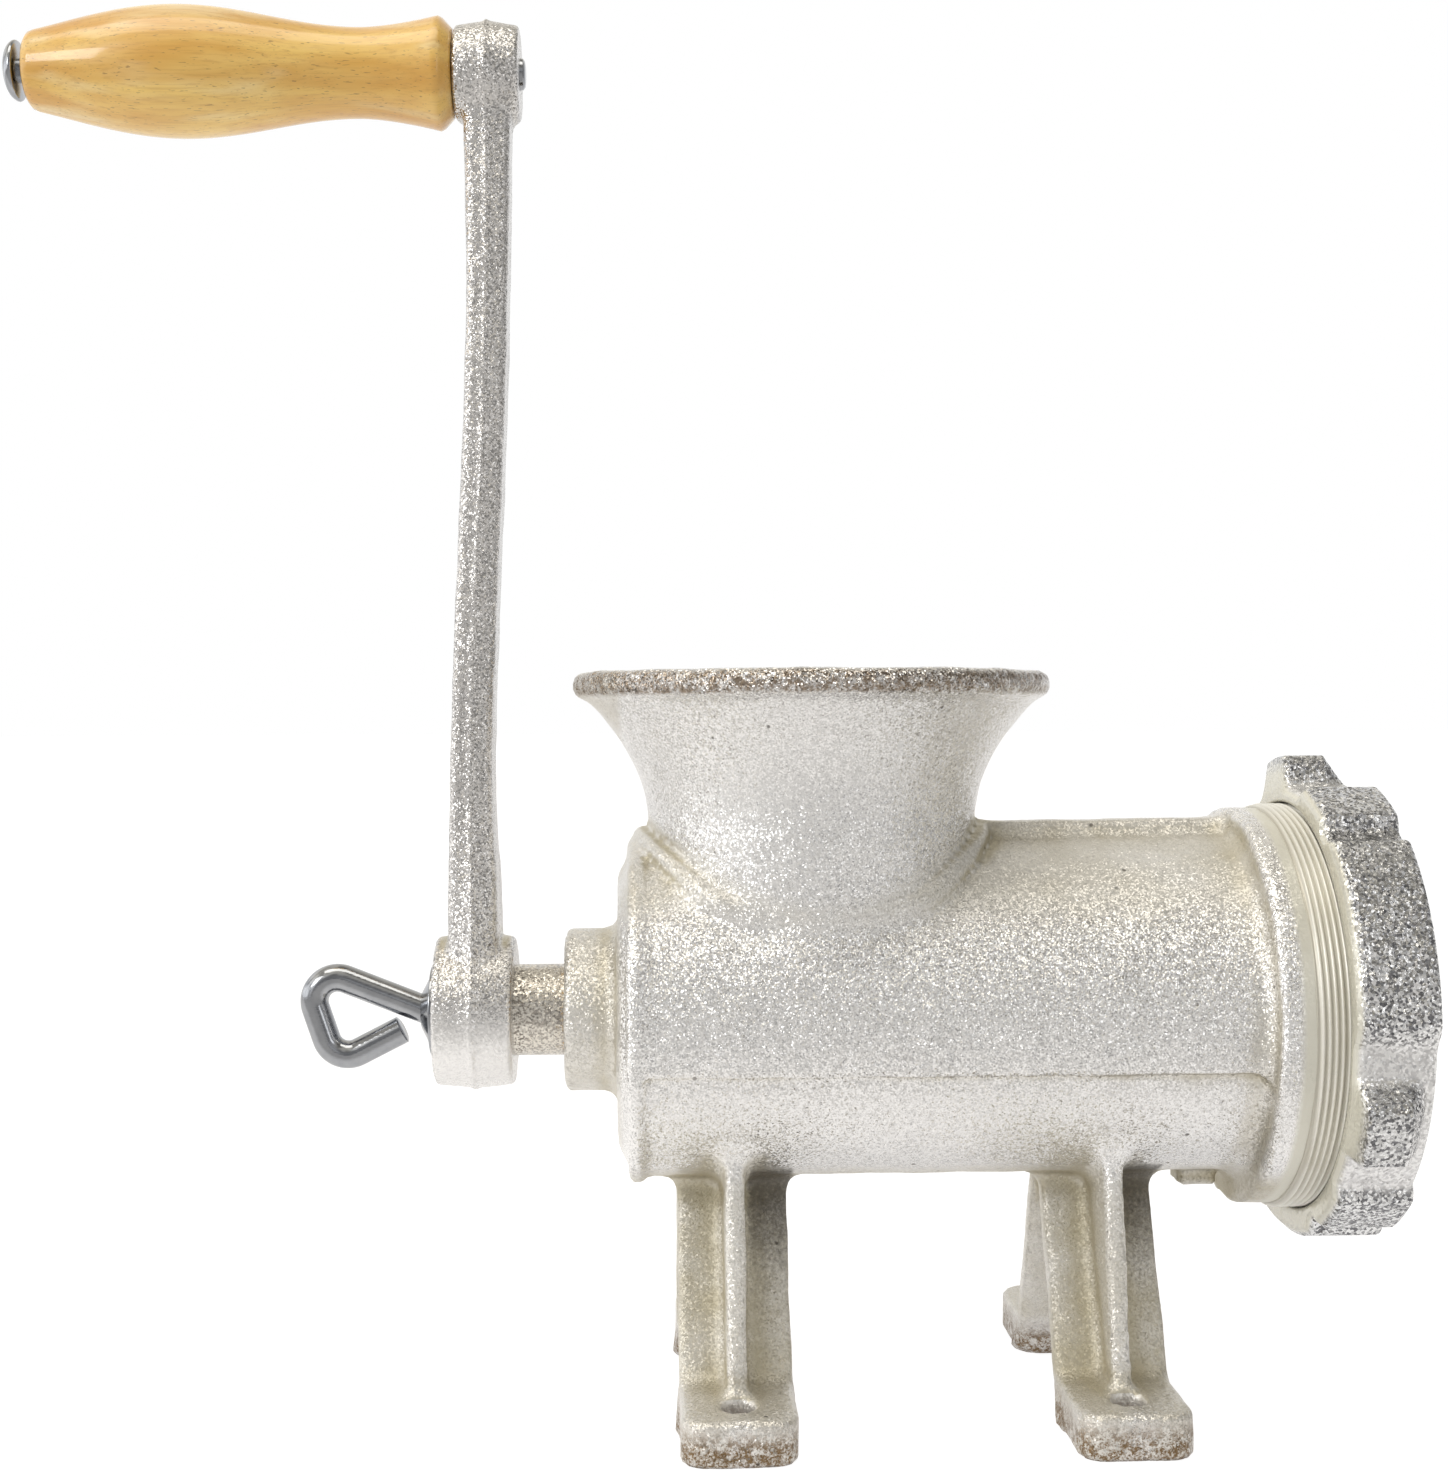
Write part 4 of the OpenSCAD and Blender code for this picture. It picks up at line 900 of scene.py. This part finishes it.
def cast_material(name, pale, dark, dark_share, grain_scale, tilt, roughness):
    """Tinned cast iron: grains that glitter, with slow patches and a few dark pits.

    The marks on the mesh add finer skin painted paler as painted light, dirt and painted shade in recesses,
    yellowing, stains, painted highlights on edges, turned bands and painted shade in smears, in that order.
    Bands, the recess dirt and shade, and finer skin also soften the grain.
    """
    material, shader, place = new_material(name)
    marks = ("recess", "edge", "stain", "turned", "tarnish", "polish_and_sheen", "painted_shade")
    recess, edge, stain, band, tarnish, polish_and_sheen, painted_shade = (attribute(place, key) for key in marks)
    grain = cells(place, grain_scale, "Color")
    facet = grain.node("ShaderNodeSeparateColor", {}, {0: grain}, 0)
    swell = noise(place, 0.5, detail=3.0, rough=0.6)
    patch = noise(place, 0.035, detail=3.0, rough=0.55)
    pit = ramp(cells(place, 0.11), 0.08, 0.04) * ramp(noise(place, 0.05, detail=1.0), 0.52, 0.62)
    # Recesses are darkened towards khaki: partly dirt, partly painted shade in creases and hollows
    dirt_and_shade = ramp(recess + (patch - 0.5) * 0.5, 0.12, 0.55) * ramp(polish_and_sheen, 1.0, 0.8)
    # Painted shade, in dark smears where the mesh marks it
    shade_smear = ramp(painted_shade + (noise(place, 0.7, detail=3.0, rough=0.7) - 0.5) * 0.6, 0.3, 0.9)
    blotch = stain * ramp(noise(place, 0.4, detail=4.0, rough=0.75) + facet * 0.25, 0.43, 0.75)
    base = blend(ramp(facet, dark_share - 0.2, dark_share + 0.2), dark, pale)
    # Finer skin is also painted paler: painted light
    base = blend(polish_and_sheen * 0.7, base, WHITE_TIN)
    base = blend(dirt_and_shade * 0.8, base, KHAKI)
    base = blend(tarnish * (0.6 + (patch - 0.5) * 1.5), base, KHAKI)
    base = blend(blotch, base, STAIN)
    # Painted highlight: sharp edges are painted towards the pale colour
    base = blend(ramp(edge, 0.25, 0.6) * 0.5, base, pale)
    base = blend(pit * 0.8, base, PIT)
    base = blend(band, base, BAND)
    base = blend(shade_smear * 0.8, base, SHADE_DARK)
    rough = roughness + (patch - 0.5) * 0.15 + dirt_and_shade * 0.1 + band * 0.08 + shade_smear * 0.2
    rough = rough + polish_and_sheen * 0.05 + tarnish * 0.15
    metal = 0.88 - band * 0.55 - shade_smear * 0.3 - polish_and_sheen * 0.25 - tarnish * 0.3
    rough_skin = (1 - band * 0.75) * (1 - dirt_and_shade * 0.4) * (1 - polish_and_sheen * 0.4)
    normal = grain_normal(place, grain, rough_skin * tilt)
    skin = bump(swell - pit * 2, 0.0006, rough_skin * 0.6, Normal=normal)
    wire(shader, Base_Color=base, Metallic=metal, Roughness=rough, Normal=skin)
    return material


def machined_material():
    """Tin on a turned surface: smooth and warm, with painted shade at the bottom of grooves."""
    material, shader, place = new_material("turned_tin")
    patch = noise(place, 0.12, detail=3.0, rough=0.6)
    base = blend(patch, TURNED, TURNED_PALE)
    # Painted shade: the grooves' bottoms are darkened
    base = blend(attribute(place, "recess") * 0.65, base, GROOVE_SHADE)
    normal = bump(noise(place, 1.4), distance=0.0002, strength=0.3)
    wire(shader, Base_Color=base, Metallic=0.45, Roughness=0.25 + patch * 0.2, Normal=normal)
    return material


def lined_metal(name, dark, pale, cloud_scale, lines, distance, strength, roughness, spread):
    """Bare metal in faint clouds, with fine lines that are counted along x and across it."""
    material, shader, place = new_material(name)
    cloud = noise(place, cloud_scale, detail=3.0)
    normal = bump(noise(stretched(place, *lines), 1.0), distance, strength)
    base = blend(cloud, dark, pale)
    wire(shader, Base_Color=base, Metallic=1.0, Roughness=roughness + cloud * spread, Normal=normal)
    return material


def steel_material():
    """Ground tool steel: fine scratches across a grey metal."""
    material, shader, place = new_material("tool_steel")
    scratch = noise(stretched(place, 0.2, 4.0), 1.0, detail=3.0)
    base = blend(noise(place, 0.08), STEEL_GREY, STEEL_PALE)
    normal = bump(scratch, distance=0.0002, strength=0.25)
    wire(shader, Base_Color=base, Metallic=1.0, Roughness=0.24 + scratch * 0.2, Normal=normal)
    return material


def wood_material():
    """Pale varnished wood: long grain, pale streaks, short dark pores and a glossy clear coat."""
    material, shader, place = new_material("varnished_wood")
    slow = noise(stretched(place, 0.012, 0.07), 1.0, detail=3.0, rough=0.6)
    streak = noise(stretched(place, 0.02, 0.12), 1.0)
    fibre = noise(stretched(place, 0.05, 1.6), 1.0, detail=3.0, rough=0.6)
    pore = noise(stretched(place, 0.35, 2.6), 1.0, detail=1.0)
    base = blend(ramp(slow, 0.3, 0.7), WOOD_BROWN, WOOD_HONEY)
    base = blend(ramp(streak, 0.5, 0.72) * 0.7, base, WOOD_STREAK)
    base = blend(ramp(fibre, 0.45, 0.75) * 0.4, base, WOOD_FIBRE)
    base = blend(ramp(pore, 0.66, 0.72) * 0.6, base, WOOD_PORE)
    normal = bump(slow, distance=0.0008, strength=0.3)
    wire(shader, Base_Color=base, Roughness=0.35 + fibre * 0.2, Normal=normal)
    wire(shader, Coat_Weight=1.0, Coat_Roughness=0.1)
    return material


cast_tin = cast_material("cast_tin", WHITE_TIN, GREY_TIN,
                         dark_share=0.3, grain_scale=2.3, tilt=0.75, roughness=0.22)
crank_tin = cast_material("crank_tin", CRANK_PALE, CRANK_GREY,
                          dark_share=0.35, grain_scale=2.3, tilt=0.6, roughness=0.2)
screw_tin = cast_material("screw_tin", SCREW_PALE, SCREW_GREY,
                          dark_share=0.4, grain_scale=1.9, tilt=0.45, roughness=0.2)
ring_tin = cast_material("ring_tin", RING_PALE, RING_GREY,
                         dark_share=0.4, grain_scale=1.45, tilt=0.85, roughness=0.16)
turned_tin = machined_material()
bright_zinc = lined_metal("bright_zinc", ZINC_GREY, ZINC_PALE, cloud_scale=0.25, lines=(0.3, 3.0),
                          distance=0.0001, strength=0.25, roughness=0.06, spread=0.1)
tool_steel = steel_material()
bronze = lined_metal("bronze", BRONZE_DARK, BRONZE_PALE, cloud_scale=0.15, lines=(4.0, 0.2),
                     distance=0.0002, strength=0.3, roughness=0.3, spread=0.2)
varnished_wood = wood_material()


# Pieces

CASTING_STEP, CRANK_STEP = (2.0, 1.55, 1.55), (0.8, 1.0, 1.5)
METAL_CREASE, SOFT_CREASE = 40, 50
# The casting's marks, among them finer skin with painted light, and painted shade
CASTING_MARKS = {"stain": casting_stain, "turned": casting_turned, "tarnish": casting_tarnish,
                 "polish_and_sheen": casting_polish_and_sheen, "painted_shade": casting_painted_shade}

cast_piece("casting", casting_field, CASTING_MARKS, CASTING_STEP, "housing", "grinder_body",
           cast_tin)
# The crank's low hub gets finer skin and painted light on its lower half
cast_piece("crank", crank_field, {"polish_and_sheen": crank_polish_and_sheen}, CRANK_STEP, "drive", "crank_arm",
           crank_tin)
thread_points, thread_grooves = thread_rings()
add_piece("collar_thread", loft(thread_points, loop=True), "housing", "grinder_body", turned_tin,
          values={"recess": thread_grooves})
ring_points, ring_marks = ring_rings()
add_piece("ring", loft(ring_points, loop=True), "ring", "ring_nut", ring_tin,
          SOFT_CREASE, ring_marks)
add_piece("grip", turned(grip_outline(), GRIP_Z, loop=True), "grip", "wooden_grip",
          varnished_wood, SOFT_CREASE)
add_piece("spindle", turned(spindle_outline(), GRIP_Z), "drive", "grip_spindle",
          bright_zinc, METAL_CREASE)
add_piece("eye", eye_shape(), "eye", "eye_screw", bright_zinc, METAL_CREASE)
add_piece("washer", turned(washer_outline(), AXIS_Z, loop=True), "eye_washer", "eye_screw_washer",
          bright_zinc, METAL_CREASE)

# The pieces inside keep their CAD meshes and get a finish
INSIDE = {"feed_screw": screw_tin, "bearing_bush": bronze, "knife_stud": tool_steel, "knife": tool_steel,
          "grinding_plate": tool_steel, "plate_key_pin": tool_steel}
for node, material in INSIDE.items():
    slots = frame["nodes"][node].data.materials
    slots.clear()
    slots.append(material)


# Stage, in metres

CENTRE = (-0.02, 0.0, 0.16)
WHITE, WARM_LAMP, WARM_CEILING = (1.0, 1.0, 1.0), (1.0, 0.96, 0.88), colour(1.0, 0.95, 0.84)
FLOOR_HALF = 30.0
# The camera was fitted to points of the part, with its lens as a length in pixels of the photo's tall side
PHOTO_TALL_PX, FOCUS_PX, SENSOR_MM = 1478, 2008.0, 36.0
CAMERA_MM, CAMERA_DEGREES = np.array([-74.24, -578.28, 193.58]), (2.068, -0.506, -0.249)


def area_lamp(name, place, size, radiance, tint):
    """Adds a soft rectangular lamp that shines from a place towards the part, with an even brightness."""
    lamp = bpy.data.lights.new(name, "AREA")
    lamp.shape = "RECTANGLE"
    lamp.color = tint
    lamp.size, lamp.size_y = size
    lamp.energy = radiance * math.pi * size[0] * size[1]
    aim = np.array(CENTRE) - np.array(place)
    aim = aim / np.linalg.norm(aim)
    steep = abs(aim[2]) > 0.9
    side = np.cross(aim, (0, 1, 0) if steep else (0, 0, 1))
    side = side / np.linalg.norm(side)
    axes = np.stack([side, np.cross(side, aim), -aim], 1)
    placed(name, lamp).matrix_world = Matrix.Translation(place) @ Matrix(axes.tolist()).to_4x4()


def stage_world():
    """A pale room in soft patches of light, with a warm ceiling, dimmer on the right and behind the camera.

    The camera sees it as white, and so do mirrors that show what lies beyond the part.
    """
    world = bpy.data.worlds.new("room")
    bpy.context.scene.world = world
    world.use_nodes = True
    tree = world.node_tree
    rays = tree.nodes.new("ShaderNodeLightPath").outputs
    camera_ray, glossy_ray = Socket(tree, rays["Is Camera Ray"]), Socket(tree, rays["Is Glossy Ray"])
    mirrored = glossy_ray.math("MAXIMUM", glossy_ray, Socket(tree, rays["Is Transmission Ray"]))
    direction = Socket(tree, tree.nodes.new("ShaderNodeTexCoord").outputs["Generated"])
    right, away, up = (direction.node("ShaderNodeSeparateXYZ", {}, {0: direction}, axis) for axis in "XYZ")
    ceiling = ramp(up, 0.25, 0.8)
    room = (0.75 - right * 0.48) * (1 - ceiling * 0.25) * (1 - ramp(away, -0.6, -0.93) * 0.4)
    room = room * (0.6 + ramp(noise(direction, 2.2, detail=1.0), 0.4, 0.6) * 0.85)
    shown = camera_ray + mirrored * (1 - camera_ray) * ramp(away, 0.3, 0.9)
    strength = room + shown * (1 - room)
    tint = blend(ceiling * (1 - camera_ray), grey(1.0), WARM_CEILING)
    wire(tree.nodes["Background"], Color=tint, Strength=strength)


def stage_floor():
    """A wide floor that the camera sees as white with a light shadow.

    It adds a glow to its own shade, bright for the camera and faint for the part. For the part, both are
    darker on the camera's side.
    """
    mesh = bpy.data.meshes.new("floor")
    corners = [(-1, -1, 0), (1, -1, 0), (1, 1, 0), (-1, 1, 0)]
    mesh.from_pydata((FLOOR_HALF * np.array(corners)).tolist(), [], [(0, 1, 2, 3)])
    floor = placed("floor", mesh)
    material, shader, place = new_material("floor")
    mesh.materials.append(material)
    tree = material.node_tree
    camera_ray = Socket(tree, tree.nodes.new("ShaderNodeLightPath").outputs["Is Camera Ray"])
    near = ramp(place.node("ShaderNodeSeparateXYZ", {}, {0: place}, "Y"), -50.0, -220.0)
    shade = blend(noise(place, 0.02), grey(0.78), grey(0.82))
    shade = blend(near, shade, grey(0.5))
    shade = blend(camera_ray, shade, grey(0.3))
    glow = blend(near, colour(0.34, 0.34, 0.36), colour(0.15, 0.15, 0.16))
    glow = blend(camera_ray, glow, grey(0.92))
    wire(shader, Base_Color=shade, Roughness=1.0, Specular_IOR_Level=0.0)
    wire(shader, Emission_Color=glow, Emission_Strength=1.0)


def stage_camera():
    """The photograph's camera, whose axes come from yaw and pitch and are rolled about its line of sight."""
    yaw, pitch, roll = (math.radians(turn) for turn in CAMERA_DEGREES)
    ahead = np.array([math.sin(yaw) * math.cos(pitch), math.cos(yaw) * math.cos(pitch), math.sin(pitch)])
    level = np.array([math.cos(yaw), -math.sin(yaw), 0.0])
    upright = np.cross(level, ahead)
    right = math.cos(roll) * level + math.sin(roll) * upright
    up = math.cos(roll) * upright - math.sin(roll) * level
    lens = bpy.data.cameras.new("camera")
    lens.sensor_width = SENSOR_MM
    lens.lens = FOCUS_PX / PHOTO_TALL_PX * SENSOR_MM
    lens.clip_start, lens.clip_end = 0.01, 100.0
    camera = placed("camera", lens)
    axes = Matrix(np.stack([right, up, -ahead], 1).tolist()).to_4x4()
    camera.matrix_world = Matrix.Translation((CAMERA_MM * MM).tolist()) @ axes
    bpy.context.scene.camera = camera


area_lamp("overhead", place=(-0.2, -0.3, 1.3), size=(1.3, 0.5), radiance=2.1, tint=WARM_LAMP)
area_lamp("front_left", place=(-1.1, -0.85, 0.75), size=(0.4, 0.4), radiance=6.0, tint=WHITE)
area_lamp("front_right", place=(0.75, -1.05, 0.45), size=(0.3, 0.6), radiance=1.3, tint=WHITE)
stage_world()
stage_floor()
stage_camera()
bpy.context.scene.view_settings.view_transform = "Standard"
